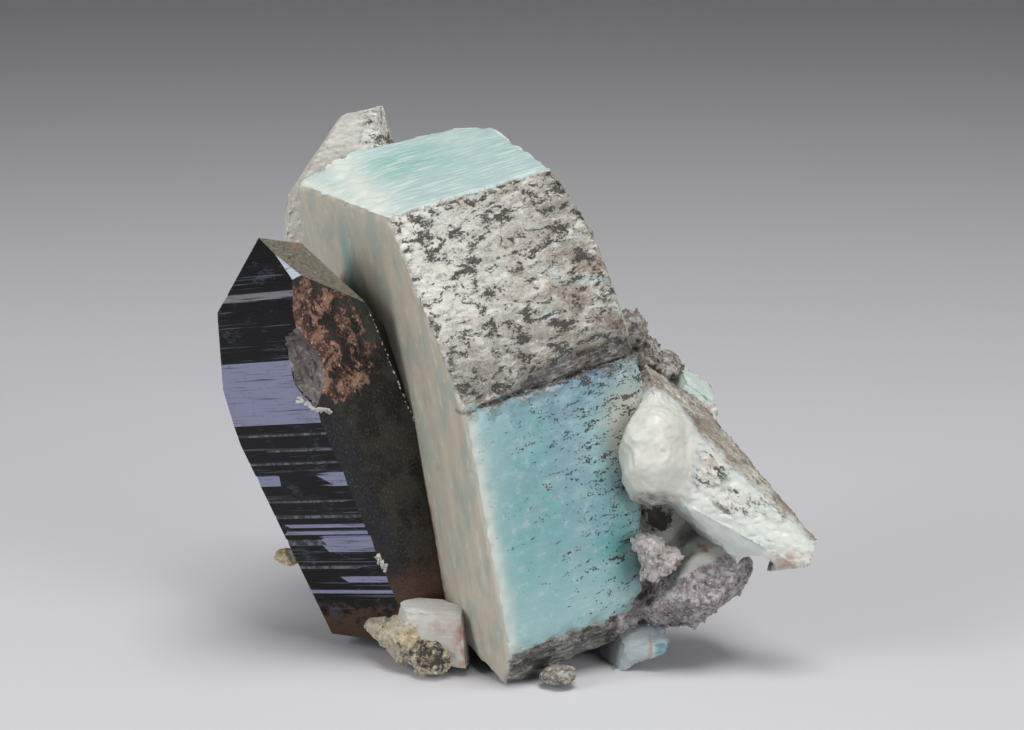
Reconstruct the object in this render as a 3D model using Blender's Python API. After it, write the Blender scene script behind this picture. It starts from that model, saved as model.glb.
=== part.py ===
"""Rough microcline: a blocky blue-green crystal with a smoky quartz, side crystals and their matrix.

Every crystal is a block cut by its natural faces. A face is given by the way it looks (azimuth 0 is
the front, -Y, and 90 the right, +X; elevation 90 is up), by its distance from the crystal's own
origin, and by its finish. Lumps of matrix are groups of roughened ellipsoids. Distances are in
millimetres in the tables and become metres when a mesh is made.
"""
import bpy
import bmesh
from math import cos, radians, sin
from mathutils import Euler, Matrix, Vector, noise

MM = 0.001
GAP = 0.3              # clearance between neighbouring pieces
FLOOR = -44.7          # height at which the lowest points are worn flat
STAND = (0.92, 23.52)   # middle of the whole specimen's box, seen from above

SMOOTH, WAXY, ETCHED, BROKEN = "smooth", "waxy", "etched", "broken"
RELIEF = {SMOOTH: 0.0, WAXY: 0.15, ETCHED: 0.35, BROKEN: 0.7}    # height of the roughness
GRAIN = {SMOOTH: 0.0, WAXY: 6.0, ETCHED: 2.9, BROKEN: 3.2}       # spacing of the roughness

# The main crystal leans to the left. Its origin is the left end of the ledge across its front.
MAIN_PLACE = (-6.1, -1.35, -6.35)
MAIN_TILT = (-2.9, -9.8, 31.9)
MAIN_FACES = [
    ("left", -90, 0, 0.0, WAXY),
    ("lower_front", 0, 0, 0.0, SMOOTH),
    ("upper_front", 0, 24.5, 0.0, ETCHED),
    ("top", 0, 81, 23.55, SMOOTH),
    ("top_left", -58, 78, 23.8, SMOOTH),
    ("right_upper", 75, 21, 30.3, ETCHED),
    ("right_middle", 77, 2, 27.2, WAXY),
    ("right_lower", 84, -12, 28.2, WAXY),
    ("back_right", 134, 3, 47.0, WAXY),
    ("back", 173, 6, 43.5, SMOOTH),
    ("back_left", -161, 16, 41.0, ETCHED),
    ("back_lower", 180, -16, 36.2, BROKEN),
    ("bottom_front", 0, -31, 17.7, BROKEN),
    ("bottom", 180, -67, 37.4, BROKEN),
]
LEDGE_START = (3.0, -0.5, 0.4)
LEDGE_END = (30.0, 0.35, 0.9)
LEDGE_WIDTH = 1.7

# The smoky quartz is a six-sided prism with a steep point. Its origin is on its axis.
QUARTZ_PLACE = (-21.3, 19.2, -15.0)
QUARTZ_TILT = (19.6, -10.4, -38.8)
PRISM = 10.3           # from the axis to a regular side
QUARTZ_FACES = [
    ("front_left", 0, 0, PRISM, SMOOTH),
    ("band", 0, 7, 11.3, SMOOTH),
    ("point_front", 0, 19, 15.8, SMOOTH),
    ("right_front", 60, 0, PRISM, SMOOTH),
    ("right_back", 120, 0, PRISM, SMOOTH),
    ("back", 180, 0, 9.0, SMOOTH),
    ("left_back", -120, 0, 11.0, SMOOTH),
    ("left", -60, 5, 14.9, SMOOTH),
    ("left_lower", -60, -3, 14.1, SMOOTH),
    ("point_olive", 120, 38.2, 21.1, SMOOTH),
    ("point_facet", 60, 38.2, 26.3, SMOOTH),
    ("point_back_right", 148, 20, 13.1, SMOOTH),
    ("point_left", -60, 19, 17.6, SMOOTH),
    ("point_back", -120, 38.2, 17.0, SMOOTH),
    ("root", -20, -72, 27.4, BROKEN),
]
CHIP_PLACE = (7.2, -10.8, 15.8)
CHIP_SIZE = (3.2, 3.8, 5.6)

# The side crystal juts out to the right from behind the main one, with a swollen boss at its root.
SIDE_PLACE = (26.2, 13.7, -17.5)
SIDE_FACES = [
    ("front", 9, 21, 5.4, ETCHED),
    ("slope", 61, 47, 5.0, ETCHED),
    ("under_front", -14, -19, 8.5, SMOOTH),
    ("under_left", -69, -44, 6.8, BROKEN),
    ("under", 20, -72, 14.8, BROKEN),
    ("tip", 92, -22, 16.9, SMOOTH),
    ("back_right", 150, -3, 3.2, ETCHED),
    ("back", -172, 12, 6.5, ETCHED),
    ("root", -88, -8, 8.2, BROKEN),
    ("shoulder", -54, 30, 11.7, ETCHED),
]
BOSS_PLACE = (-7.4, -4.3, 3.0)
BOSS_SIZE = (4.8, 5.4, 7.2)
NOTCH_PLACE = (6.6, -9.0, -12.6)
NOTCH_SIZE = (2.7, 13.0, 3.1)
LIP_PLACE = (10.6, -13.2, -10.4)
LIP_SIZE = (3.0, 3.4, 2.2)

# A spur stands behind the main crystal's top left corner.
SPUR_PLACE = (-23.8, 41.0, 22.5)
SPUR_FACES = [
    ("left", -84, 8, 7.2, BROKEN),
    ("upper_left", -90, 34, 3.3, ETCHED),
    ("top", -84, 76, 4.8, ETCHED),
    ("right", 82, 15, 6.4, ETCHED),
    ("front", 8, 12, 3.8, ETCHED),
    ("back", 176, 10, 4.6, ETCHED),
    ("root", -120, -62, 14.5, BROKEN),
]

# A pale green crystal sits behind the side crystal.
REAR_PLACE = (25.6, 21.5, -9.0)
REAR_FACES = [
    ("front", 5, 15, 2.6, ETCHED),
    ("top", 70, 52, 1.7, ETCHED),
    ("left", -62, 30, 3.6, SMOOTH),
    ("right", 95, -6, 2.8, ETCHED),
    ("back", 178, 20, 3.4, SMOOTH),
    ("root", -150, -50, 5.0, BROKEN),
]

# A small blue crystal lies at the foot of the matrix, on the right.
FOOT_PLACE = (18.6, 13.2, -41.6)
FOOT_FACES = [
    ("front", -14, 2, 4.6, SMOOTH),
    ("front_right", 42, 0, 5.6, SMOOTH),
    ("top", -30, 62, 2.8, SMOOTH),
    ("left", -72, 12, 4.5, WAXY),
    ("right", 96, 10, 2.7, ETCHED),
    ("back", 180, 0, 4.6, BROKEN),
    ("base", 0, -90, 3.9, BROKEN),
    ("under_right", 90, -63, 1.3, BROKEN),
]

# A pale blade of feldspar leans against the main crystal's foot, on the left.
BLADE_PLACE = (-10.4, 9.4, -39.6)
BLADE_FACES = [
    ("front", -8, 8, 2.0, SMOOTH),
    ("top", 4, 74, 3.8, SMOOTH),
    ("left", -70, 0, 4.4, WAXY),
    ("right", 84, 6, 4.2, WAXY),
    ("back", 174, 0, 2.4, BROKEN),
    ("base", -14, -76, 4.3, BROKEN),
]

# Lumps: centre, half sizes, and turn about the vertical and the view axis in degrees.
MATRIX_LUMPS = [
    ((3.0, 27.5, -37.0), (19.0, 10.5, 12.0), 0, 0),
    ((25.2, 14.6, -33.2), (9.6, 9.0, 6.0), 0, -34),
    ((-10.0, 26.5, -38.0), (8.0, 9.0, 8.5), 0, 0),
    ((14.0, 18.0, -36.0), (8.0, 9.0, 8.0), 0, 0),
    ((20.5, 17.5, -24.0), (5.5, 6.0, 7.0), 0, 0),
]
CRUST_LUMPS = [
    ((-13.6, 11.0, -40.6), (4.4, 5.0, 4.4), 0, 12),
    ((-11.0, 7.4, -42.2), (3.2, 3.8, 3.2), 0, 0),
    ((-17.2, 15.0, -40.2), (3.4, 4.6, 2.8), 0, 20),
]
KNOB_LUMPS = [
    ((18.4, 8.0, -26.6), (2.6, 3.2, 2.0), 0, 10),
    ((20.6, 8.4, -28.4), (2.8, 3.2, 1.8), 0, -12),
    ((18.8, 8.2, -30.0), (2.2, 2.8, 1.7), 0, 0),
]
REAR_LUMPS = [
    ((15.7, 24.0, -0.6), (3.2, 4.6, 4.6), 0, 24),
    ((18.0, 23.4, -3.2), (3.4, 4.2, 3.2), 0, 30),
    ((20.6, 22.4, -4.8), (3.4, 3.8, 2.7), 0, 10),
]
NUB_LUMPS = [
    ((6.4, 2.2, -43.2), (2.4, 3.0, 2.4), 0, 0),
]
CHIP_LUMPS = [
    ((-32.4, 22.6, -32.2), (1.8, 2.2, 1.4), 0, 0),
]

COLOURS = {
    "main_microcline_crystal": (0.30, 0.58, 0.56),
    "smoky_quartz_crystal": (0.02, 0.02, 0.025),
    "side_microcline_crystal": (0.62, 0.68, 0.64),
    "spur_microcline_crystal": (0.55, 0.50, 0.47),
    "rear_microcline_crystal": (0.55, 0.68, 0.64),
    "rear_feldspar_lumps": (0.42, 0.37, 0.33),
    "foot_microcline_crystal": (0.25, 0.50, 0.58),
    "pale_feldspar_blade": (0.68, 0.64, 0.66),
    "albite_matrix": (0.52, 0.44, 0.46),
    "albite_knobs": (0.66, 0.60, 0.57),
    "iron_stained_crust": (0.62, 0.52, 0.33),
    "foot_nub": (0.45, 0.42, 0.38),
    "quartz_chip": (0.60, 0.50, 0.33),
}
ROUGHNESS = {"smoky_quartz_crystal": 0.12, "main_microcline_crystal": 0.45}
PLAIN_ROUGHNESS = 0.7

NEAR = 0.00002
GOLDEN_ANGLE = 137.5
FRACTURES = 14         # flat fractures across a lump
FRACTURE_DEPTH = 0.84  # how far out they lie, as a share of the lump
STANDING = Matrix.Scale(MM, 4) @ Matrix.Translation((-STAND[0], -STAND[1], -FLOOR))
PARTS = bpy.data.collections.new("rough_microcline")
CUTTERS = bpy.data.collections.new("rough_microcline_cutters")


def clear_scene():
    """Remove whatever the file holds and hang the two collections in the scene."""
    for old in list(bpy.data.objects):
        bpy.data.objects.remove(old, do_unlink=True)
    for collection in (PARTS, CUTTERS):
        bpy.context.scene.collection.children.link(collection)


def looks_along(azimuth, elevation):
    """Unit vector of a face that looks this way."""
    a, e = radians(azimuth), radians(elevation)
    return Vector((sin(a) * cos(e), -cos(a) * cos(e), sin(e)))


def frame(place, tilt=(0, 0, 0)):
    """Matrix from a crystal's own millimetres to the specimen's millimetres."""
    turn = Euler([radians(angle) for angle in tilt]).to_matrix().to_4x4()
    return Matrix.Translation(place) @ turn


def cut_off(bm, point, normal):
    """Cut away what lies past a plane, close the cut, and return the new face."""
    geometry = bm.verts[:] + bm.edges[:] + bm.faces[:]
    cut = bmesh.ops.bisect_plane(bm, geom=geometry, plane_co=point, plane_no=normal, clear_outer=True)
    rim = [item for item in cut["geom_cut"] if isinstance(item, bmesh.types.BMEdge)]
    if not rim:
        return None
    return bmesh.ops.contextual_create(bm, geom=rim)["faces"][0]


def crystal_mesh(faces, size=120.0, grow=0.0):
    """A block cut by its flat faces. With grow every face moves out, to make a cutter."""
    bm = bmesh.new()
    bmesh.ops.create_cube(bm, size=size)
    for name, azimuth, elevation, distance, finish in faces:
        normal = looks_along(azimuth, elevation)
        cut_off(bm, normal * (distance + grow), normal)
    return bm


def on_plane(bm, normal, point):
    """The faces that lie on a plane, however many pieces they are in."""
    return [f for f in bm.faces
            if f.normal.dot(normal) > 0.999 and abs((f.calc_center_median() - point).dot(normal)) < NEAR]


def grid(bm, faces, normal, spacing):
    """Cut flat faces into squares of about this spacing, and return the squares."""
    side = normal.orthogonal().normalized()
    for axis in (side, normal.cross(side)):
        along = [v.co.dot(axis) for f in faces for v in f.verts]
        low, high = min(along), max(along)
        steps = int((high - low) / spacing)
        for step in range(1, steps + 1):
            level = low + (high - low) * step / (steps + 1)
            geometry = list({v for f in faces for v in f.verts}) + list({e for f in faces for e in f.edges})
            cut = bmesh.ops.bisect_plane(bm, geom=geometry + faces, plane_co=axis * level, plane_no=axis)
            faces = list({item for item in cut["geom"] if isinstance(item, bmesh.types.BMFace)})
    return faces


def roughen(target, faces, base):
    """Wear a crystal's rough faces into shallow pits, inside their rims."""
    placed = STANDING @ base
    bm = bmesh.new()
    bm.from_mesh(target.data)
    for name, azimuth, elevation, distance, finish in faces:
        if finish == SMOOTH:
            continue
        normal = (placed.to_3x3() @ looks_along(azimuth, elevation)).normalized()
        point = placed @ (looks_along(azimuth, elevation) * distance)
        found = on_plane(bm, normal, point)
        if not found:
            continue
        squares = set(grid(bm, found, normal, GRAIN[finish] * MM))
        inside = {v for f in squares for v in f.verts if all(other in squares for other in v.link_faces)}
        for vert in inside:
            wear = 0.5 + noise.noise(vert.co / (GRAIN[finish] * MM) * 0.6)
            vert.co -= normal * RELIEF[finish] * MM * max(0.0, wear)
    bmesh.ops.triangulate(bm, faces=bm.faces)
    bm.to_mesh(target.data)
    bm.free()


def lump_mesh(centre, half_sizes, yaw, roll, subdivisions=3, grow=0.0):
    """A broken lump: an ellipsoid with knobs on it and flat fractures across it."""
    bm = bmesh.new()
    bmesh.ops.create_icosphere(bm, subdivisions=subdivisions, radius=1.0)
    turn = Euler((0, radians(roll), radians(yaw))).to_matrix()
    middle = Vector(centre)
    for vert in bm.verts:
        ray = vert.co.normalized()
        for fracture in range(FRACTURES):
            across = looks_along(fracture * GOLDEN_ANGLE, -80 + 160 * (fracture + 0.5) / FRACTURES)
            past = ray.dot(across) - FRACTURE_DEPTH
            ray -= across * max(0.0, past)
        spot = turn @ Vector([ray[i] * half_sizes[i] for i in range(3)])
        knob = 0.16 * noise.noise((spot + middle) / 4.5) + 0.10 * noise.noise((spot + middle) / 2.0)
        vert.co = middle + spot * (1 + knob + grow / min(half_sizes))
    return bm


def add_object(name, bm, place, collection):
    """Put a mesh in millimetres into the scene in metres, standing on the origin."""
    bmesh.ops.transform(bm, matrix=STANDING @ place, verts=bm.verts)
    bmesh.ops.recalc_face_normals(bm, faces=bm.faces)
    mesh = bpy.data.meshes.new(name)
    bm.to_mesh(mesh)
    bm.free()
    made = bpy.data.objects.new(name, mesh)
    collection.objects.link(made)
    if collection is CUTTERS:
        made.hide_render = True
        made.display_type = "WIRE"
    else:
        made.data.materials.append(surface(name))
    return made


def surface(name):
    """The piece's plain material."""
    material = bpy.data.materials.new(name)
    material.use_nodes = True
    shader = material.node_tree.nodes["Principled BSDF"]
    shader.inputs["Base Color"].default_value = (*COLOURS[name], 1.0)
    shader.inputs["Roughness"].default_value = ROUGHNESS.get(name, PLAIN_ROUGHNESS)
    shader.inputs["Metallic"].default_value = 0.0
    return material


def combine(target, cutters, operation="DIFFERENCE"):
    """Cut or join with other solids for good, and keep the largest body that is left."""
    for cutter in cutters:
        modifier = target.modifiers.new(cutter.name, "BOOLEAN")
        modifier.operation = operation
        modifier.solver = "EXACT"
        modifier.object = cutter
    shaped = target.evaluated_get(bpy.context.evaluated_depsgraph_get())
    mesh = bpy.data.meshes.new_from_object(shaped)
    target.modifiers.clear()
    target.data = mesh
    keep_largest(mesh)


def keep_largest(mesh):
    """Drop crumbs that a cut has left beside the main body, and merge points that coincide."""
    bm = bmesh.new()
    bm.from_mesh(mesh)
    bmesh.ops.remove_doubles(bm, verts=bm.verts, dist=0.00001)
    bmesh.ops.dissolve_degenerate(bm, edges=bm.edges, dist=0.00001)
    left = set(bm.verts)
    bodies = []
    while left:
        body, edge_of_search = set(), [left.pop()]
        while edge_of_search:
            vert = edge_of_search.pop()
            body.add(vert)
            for edge in vert.link_edges:
                other = edge.other_vert(vert)
                if other in left:
                    left.discard(other)
                    edge_of_search.append(other)
        bodies.append(body)
    bodies.sort(key=len, reverse=True)
    crumbs = [vert for body in bodies[1:] for vert in body]
    bmesh.ops.delete(bm, geom=crumbs, context="VERTS")
    bmesh.ops.triangulate(bm, faces=bm.faces)
    bm.to_mesh(mesh)
    bm.free()


def ellipsoid_cutter(name, place, half_sizes, base):
    """A plain ellipsoid, given in a crystal's own frame."""
    bm = bmesh.new()
    bmesh.ops.create_icosphere(bm, subdivisions=2, radius=1.0)
    bmesh.ops.scale(bm, vec=half_sizes, verts=bm.verts)
    bmesh.ops.translate(bm, vec=place, verts=bm.verts)
    return add_object(name, bm, base, CUTTERS)


def broken_cutter(name, place, half_sizes, base):
    """A lump with fractured sides, given in a crystal's own frame, that leaves a broken hollow."""
    return add_object(name, lump_mesh(place, half_sizes, 0, 0, 2), base, CUTTERS)


def floor_cutter():
    """The block under the floor, which wears the lowest points flat."""
    bm = bmesh.new()
    bmesh.ops.create_cube(bm, size=200.0)
    bmesh.ops.translate(bm, vec=(0, 0, FLOOR - 100.0), verts=bm.verts)
    return add_object("floor_cutter", bm, Matrix(), CUTTERS)


def ledge_cutter(base):
    """A thin square bar turned on its edge: it opens the crack across the main crystal's front."""
    start, end = Vector(LEDGE_START), Vector(LEDGE_END)
    run = end - start
    bm = bmesh.new()
    bmesh.ops.create_cube(bm, size=1.0)
    bmesh.ops.scale(bm, vec=(run.length, LEDGE_WIDTH, LEDGE_WIDTH), verts=bm.verts)
    bmesh.ops.rotate(bm, matrix=Matrix.Rotation(radians(45), 3, "X"), verts=bm.verts)
    turn = run.to_track_quat("X", "Z").to_matrix().to_4x4()
    middle = Matrix.Translation((start + end) / 2) @ turn
    return add_object("ledge_cutter", bm, base @ middle, CUTTERS)


def lump_object(name, lumps, subdivisions=3):
    """One solid made of several lumps grown together."""
    solids = []
    for number, (centre, half_sizes, yaw, roll) in enumerate(lumps):
        bm = lump_mesh(centre, half_sizes, yaw, roll, subdivisions)
        collection = CUTTERS if number else PARTS
        title = f"{name}_lump_{number}" if number else name
        solids.append(add_object(title, bm, Matrix(), collection))
    if len(solids) > 1:
        combine(solids[0], solids[1:], "UNION")
    return solids[0]


def lump_cutters(name, lumps):
    """The same lumps, grown by the gap, to cut a neighbour with."""
    cutters = []
    for number, (centre, half_sizes, yaw, roll) in enumerate(lumps):
        bm = lump_mesh(centre, half_sizes, yaw, roll, 2, GAP + 0.25)
        cutters.append(add_object(f"{name}_cutter_{number}", bm, Matrix(), CUTTERS))
    return cutters


def crystal_cutter(name, faces, base):
    """A crystal grown by the gap, to cut a neighbour with."""
    return add_object(f"{name}_cutter", crystal_mesh(faces, grow=GAP), base, CUTTERS)


def build():
    """Make every piece, cutting each by those that grew before it."""
    clear_scene()
    floor = floor_cutter()
    main_base = frame(MAIN_PLACE, MAIN_TILT)
    quartz_base = frame(QUARTZ_PLACE, QUARTZ_TILT)
    side_base = frame(SIDE_PLACE)
    spur_base = frame(SPUR_PLACE)
    rear_base = frame(REAR_PLACE)
    foot_base = frame(FOOT_PLACE)
    blade_base = frame(BLADE_PLACE)

    main = add_object("main_microcline_crystal", crystal_mesh(MAIN_FACES), main_base, PARTS)
    combine(main, [ledge_cutter(main_base), floor])
    roughen(main, MAIN_FACES, main_base)
    by_main = crystal_cutter("main", MAIN_FACES, main_base)

    quartz = add_object("smoky_quartz_crystal", crystal_mesh(QUARTZ_FACES), quartz_base, PARTS)
    chip = broken_cutter("chip_cutter", CHIP_PLACE, CHIP_SIZE, quartz_base)
    combine(quartz, [by_main, chip])
    roughen(quartz, QUARTZ_FACES, quartz_base)
    by_quartz = crystal_cutter("quartz", QUARTZ_FACES, quartz_base)

    side = add_object("side_microcline_crystal", crystal_mesh(SIDE_FACES), side_base, PARTS)
    boss = ellipsoid_cutter("side_boss", BOSS_PLACE, BOSS_SIZE, side_base)
    combine(side, [boss], "UNION")
    notch = broken_cutter("notch_cutter", NOTCH_PLACE, NOTCH_SIZE, side_base)
    combine(side, [by_main, notch, broken_cutter("lip_cutter", LIP_PLACE, LIP_SIZE, side_base)])
    roughen(side, SIDE_FACES, side_base)
    by_side = [crystal_cutter("side", SIDE_FACES, side_base)]
    by_side.append(ellipsoid_cutter("boss_cutter", BOSS_PLACE, [s + GAP for s in BOSS_SIZE], side_base))

    spur = add_object("spur_microcline_crystal", crystal_mesh(SPUR_FACES), spur_base, PARTS)
    combine(spur, [by_main, by_quartz])
    roughen(spur, SPUR_FACES, spur_base)

    rear = add_object("rear_microcline_crystal", crystal_mesh(REAR_FACES), rear_base, PARTS)
    combine(rear, [by_main] + by_side)
    roughen(rear, REAR_FACES, rear_base)
    by_rear = crystal_cutter("rear", REAR_FACES, rear_base)

    lumps = lump_object("rear_feldspar_lumps", REAR_LUMPS, 2)
    combine(lumps, [by_main, by_rear] + by_side)

    foot = add_object("foot_microcline_crystal", crystal_mesh(FOOT_FACES), foot_base, PARTS)
    combine(foot, [by_main, floor])
    roughen(foot, FOOT_FACES, foot_base)
    by_foot = crystal_cutter("foot", FOOT_FACES, foot_base)

    blade = add_object("pale_feldspar_blade", crystal_mesh(BLADE_FACES), blade_base, PARTS)
    combine(blade, [by_main, by_quartz, floor])
    roughen(blade, BLADE_FACES, blade_base)
    by_blade = crystal_cutter("blade", BLADE_FACES, blade_base)

    crust = lump_object("iron_stained_crust", CRUST_LUMPS, 2)
    combine(crust, [by_main, by_quartz, by_blade, floor])

    knobs = lump_object("albite_knobs", KNOB_LUMPS, 2)
    combine(knobs, [by_main] + by_side)

    nub = lump_object("foot_nub", NUB_LUMPS, 2)
    combine(nub, [by_main, floor])

    chip_lump = lump_object("quartz_chip", CHIP_LUMPS, 2)
    combine(chip_lump, [by_quartz])

    matrix = lump_object("albite_matrix", MATRIX_LUMPS)
    combine(matrix, [by_main, by_quartz, by_foot, by_blade, floor] + by_side)
    combine(matrix, lump_cutters("crust", CRUST_LUMPS) + lump_cutters("knob", KNOB_LUMPS))


build()
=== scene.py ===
"""Rough microcline with smoky quartz, dressed in the CAD model's frame.

Every crystal is modelled again as a block cut by its natural faces, this time with its growth steps,
etch pits and worn edges. The tables are in millimetres in the specimen's own axes: X to the right,
Y away from the front, Z up. STANDING turns them into the frame's metres, on the floor.
"""
import random
from math import ceil, cos, log2, radians, sin, tan

import bmesh
import bpy
import numpy as np
from bpy.props import FloatProperty, FloatVectorProperty, IntProperty, PointerProperty
from mathutils import Euler, Matrix, Vector, noise


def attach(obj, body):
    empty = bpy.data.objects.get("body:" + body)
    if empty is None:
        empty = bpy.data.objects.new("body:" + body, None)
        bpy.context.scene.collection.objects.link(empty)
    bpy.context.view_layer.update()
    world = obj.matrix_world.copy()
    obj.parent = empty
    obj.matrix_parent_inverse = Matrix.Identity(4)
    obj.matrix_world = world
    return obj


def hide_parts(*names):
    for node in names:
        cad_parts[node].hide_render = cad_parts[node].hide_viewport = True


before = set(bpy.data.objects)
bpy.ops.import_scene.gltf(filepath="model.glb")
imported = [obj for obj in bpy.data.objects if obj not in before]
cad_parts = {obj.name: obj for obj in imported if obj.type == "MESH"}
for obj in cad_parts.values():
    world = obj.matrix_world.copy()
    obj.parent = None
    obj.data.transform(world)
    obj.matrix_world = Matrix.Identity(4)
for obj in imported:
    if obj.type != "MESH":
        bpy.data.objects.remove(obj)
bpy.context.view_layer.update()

bl_info = {
    "name": "Rough microcline with smoky quartz",
    "version": (1, 0, 0),
    "blender": (4, 5, 0),
    "location": "3D View > Sidebar > Specimen",
    "description": "Dresses the crystals of a microcline and smoky quartz specimen",
    "category": "Add Mesh",
}

MM = 0.001
FLOOR = -44.7
STAND = (0.92, 23.52)
STANDING = Matrix.Scale(MM, 4) @ Matrix.Translation((-STAND[0], -STAND[1], -FLOOR))

# Index of refraction of each mineral
QUARTZ_IOR = 1.55
FELDSPAR_IOR = 1.52
ALBITE_IOR = 1.53

# Finishes of a crystal's faces
SMOOTH, WAXY, ETCHED, BROKEN = "smooth", "waxy", "etched", "broken"

# The main crystal leans to the left. Its origin is the left end of the ledge across its front.
MAIN_PLACE = (-6.1, -1.35, -6.35)
MAIN_TILT = (-2.9, -9.8, 31.9)
MAIN_FACES = [
    ("left", -90, 0, 0.0, WAXY),
    ("lower_front", 0, 0, 0.0, SMOOTH),
    ("upper_front", 0, 24.5, 0.0, ETCHED),
    ("top", 0, 81, 23.55, SMOOTH),
    ("top_left", -58, 78, 23.8, SMOOTH),
    ("right_upper", 75, 21, 30.3, ETCHED),
    ("right_middle", 77, 2, 27.2, WAXY),
    ("right_lower", 84, -12, 28.2, WAXY),
    ("back_right", 134, 3, 47.0, WAXY),
    ("back", 173, 6, 43.5, SMOOTH),
    ("back_left", -161, 16, 41.0, ETCHED),
    ("back_lower", 180, -16, 36.2, BROKEN),
    ("bottom_front", 0, -31, 17.7, BROKEN),
    ("bottom", 180, -67, 37.4, BROKEN),
]
# Soft spots on its faces: centre, half sizes and strength
MAIN_SPOTS = {
    "top": [((13.0, 29.0, 29.0), (11.0, 8.0, 8.0), 1.0), ((22, 25, 27), (14, 9, 6), 0.30)],
    "green": [((9.0, 0.0, -7.0), (6.0, 9.0, 8.0), 0.65), ((8.0, 0.0, -18.0), (8.0, 9.0, 14.0), 0.70),
              ((18.0, 0.0, -24.0), (7.0, 9.0, 7.0), 0.95), ((17.0, 0.0, -17.0), (6.0, 9.0, 5.0), 0.5)],
    "blue": [((16.0, 0.0, -1.0), (15.0, 9.0, 6.5), 0.95), ((20, 0, -15), (5, 9, 4), 0.5),
             ((16, 0, -12), (16, 9, 18), 0.60)],
    "vein": [((0, 25.5, 18.0), (9, 1.6, 9.0), 0.6), ((0, 13.0, -9.0), (9, 1.0, 5.0), 0.3)],
    # This cream spot paints the lower front's right part a darker grey-green: painted shade beside the side
    # crystal's boss
    "cream": [((25.0, 0.0, -9.0), (8.0, 9.0, 12.0), 0.55)],
    "stain": [((0, 15.5, -20), (9, 1.0, 12), 0.7), ((0, 10.5, 4), (9, 1.2, 9), 0.15)],
}
LEDGE_LENGTH = 30.0    # the crack runs from the left edge to here
LEDGE_RISE = 0.4       # height of the dark band over the crack at its left end
LEDGE_SPREAD = 2.5     # how much taller the band is at its right end

# The smoky quartz is a six-sided prism with a steep point. Its origin is on its axis.
QUARTZ_PLACE = (-21.3, 19.2, -15.0)
QUARTZ_TILT = (19.6, -10.4, -38.8)
PRISM = 10.3            # distance of the prism's faces from its axis
BAND_FACE = (7, 11.3)   # lean and distance of the face over the prism's front
POINT_FACE = (19, 15.8)
QUARTZ_FACES = [
    ("front_left", 0, 0, PRISM, SMOOTH),
    ("band", 0, *BAND_FACE, SMOOTH),
    ("point_front", 0, *POINT_FACE, SMOOTH),
    ("right_front", 60, 0, PRISM, SMOOTH),
    ("right_back", 120, 0, PRISM, SMOOTH),
    ("back", 180, 0, 9.0, SMOOTH),
    ("left_back", -120, 0, 11.0, SMOOTH),
    ("left", -60, 5, 14.9, SMOOTH),
    ("left_lower", -60, -3, 14.1, SMOOTH),
    ("point_olive", 120, 38.2, 21.1, SMOOTH),
    ("point_facet", 60, 38.2, 25.65, SMOOTH),
    ("point_back_right", 148, 20, 13.1, SMOOTH),
    ("point_left", -60, 19, 17.6, SMOOTH),
    ("point_back", -120, 38.2, 17.0, SMOOTH),
    ("root", -20, -72, 27.4, BROKEN),
]
CHIP_PLACE = (6.5, -10.9, 17.0)   # the notch broken out of its front edge
CHIP_SIZE = (3.9, 3.8, 6.8)
CHIP_REACH = 1.25      # how far from the notch its broken skin can lie, as a share of its half sizes
CHIP_DEPTH = 0.12      # how far under the crystal's faces the broken skin starts

# The quartz's materials, in the order of its slots
GLOSSY, FROSTED, STAINED, FRACTURED, PAINTED_SHEEN, STEP_HIGHLIGHT, FACET_REFLECTION, SCRATCHED = range(8)
FACE_LOOKS = {
    "point_olive": FROSTED,
    # The point's facet is painted pale: a painted reflection
    "point_facet": FACET_REFLECTION,
    "right_front": STAINED,
    "right_back": STAINED,
    "root": FRACTURED,
}

# Small white crystals on the quartz: the line they sit on, how many, and their size.
QUARTZ_GRAINS = [
    (((3.6, -10.3, 12.6), (5.9, -10.3, 10.7), (6.9, -9.0, 9.9)), 18, 0.80),
    (((11.85, 0.0, 21.0), (11.85, 0.0, 0.0)), 34, 0.30),
    (((5.9, -10.2, -12.2), (6.0, -10.2, -14.0)), 6, 0.9),
]

# Growth steps across the quartz's front: from, to, along the axis; left and right end; lean back.
GROWTH_STEPS = [
    (-16.2, -15.3, -1.4, 9.0, 7.0),
    (-11.3, -8.9, -2.6, 9.0, 7.0),
    (-10.2, -9.4, -12.0, -3.4, 11.0),
    (-8.5, -8.0, -9.0, 9.0, 8.0),
    (-7.4, -6.9, -8.0, 9.0, 7.0),
    (-5.9, -5.5, -12.0, 9.0, 14.0),
    (-3.4, -3.1, -12.0, 4.0, 10.0),
    (-0.9, 1.1, 3.4, 9.0, 7.0),
    (-0.7, 0.8, -12.0, -6.4, 7.0),
    (2.6, 2.9, -12.0, 9.0, 12.0),
    (4.6, 4.9, -6.0, 9.0, 10.0),
    (7.0, 7.3, -12.0, 9.0, 14.0),
    (-14.0, -13.6, -12.0, 1.0, 12.0),
    (-18.0, -17.5, -12.0, 9.0, 9.0),
]
POINT_STEPS = [
    (26.2, 27.1, -12.0, 12.0, 9.0),
    (23.7, 23.9, -12.0, 12.0, 14.0),
    (21.9, 22.1, -12.0, 12.0, 14.0),
    (20.3, 20.5, -12.0, 12.0, 14.0),
]
BAND_TOP = 17.8        # the band of painted lavender sheen ends here, and the face over it is glossy
BAND_STEPS = [(BAND_TOP, BAND_TOP + 0.2, -12.0, 12.0, 9.0), (19.2, 19.35, -12.0, 12.0, 12.0)]
POINT_LEAN = 0.42      # lean past which a strip of the point's front is a scratched growth step
SHEEN_LEAN = (0.08, 0.165)  # how far the growth bands with painted sheen lean back, as the upward part of their normal
STEP_BACK = 0.25       # run in which a growth step comes forward again
NEAR = 0.001           # rounding allowed where a cut meets a plane
ON_FACE = 0.35         # a point further under a crystal's faces lies on a cut
EDGE_WIDTH = 1.1       # how far from an edge its wear reaches

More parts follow.
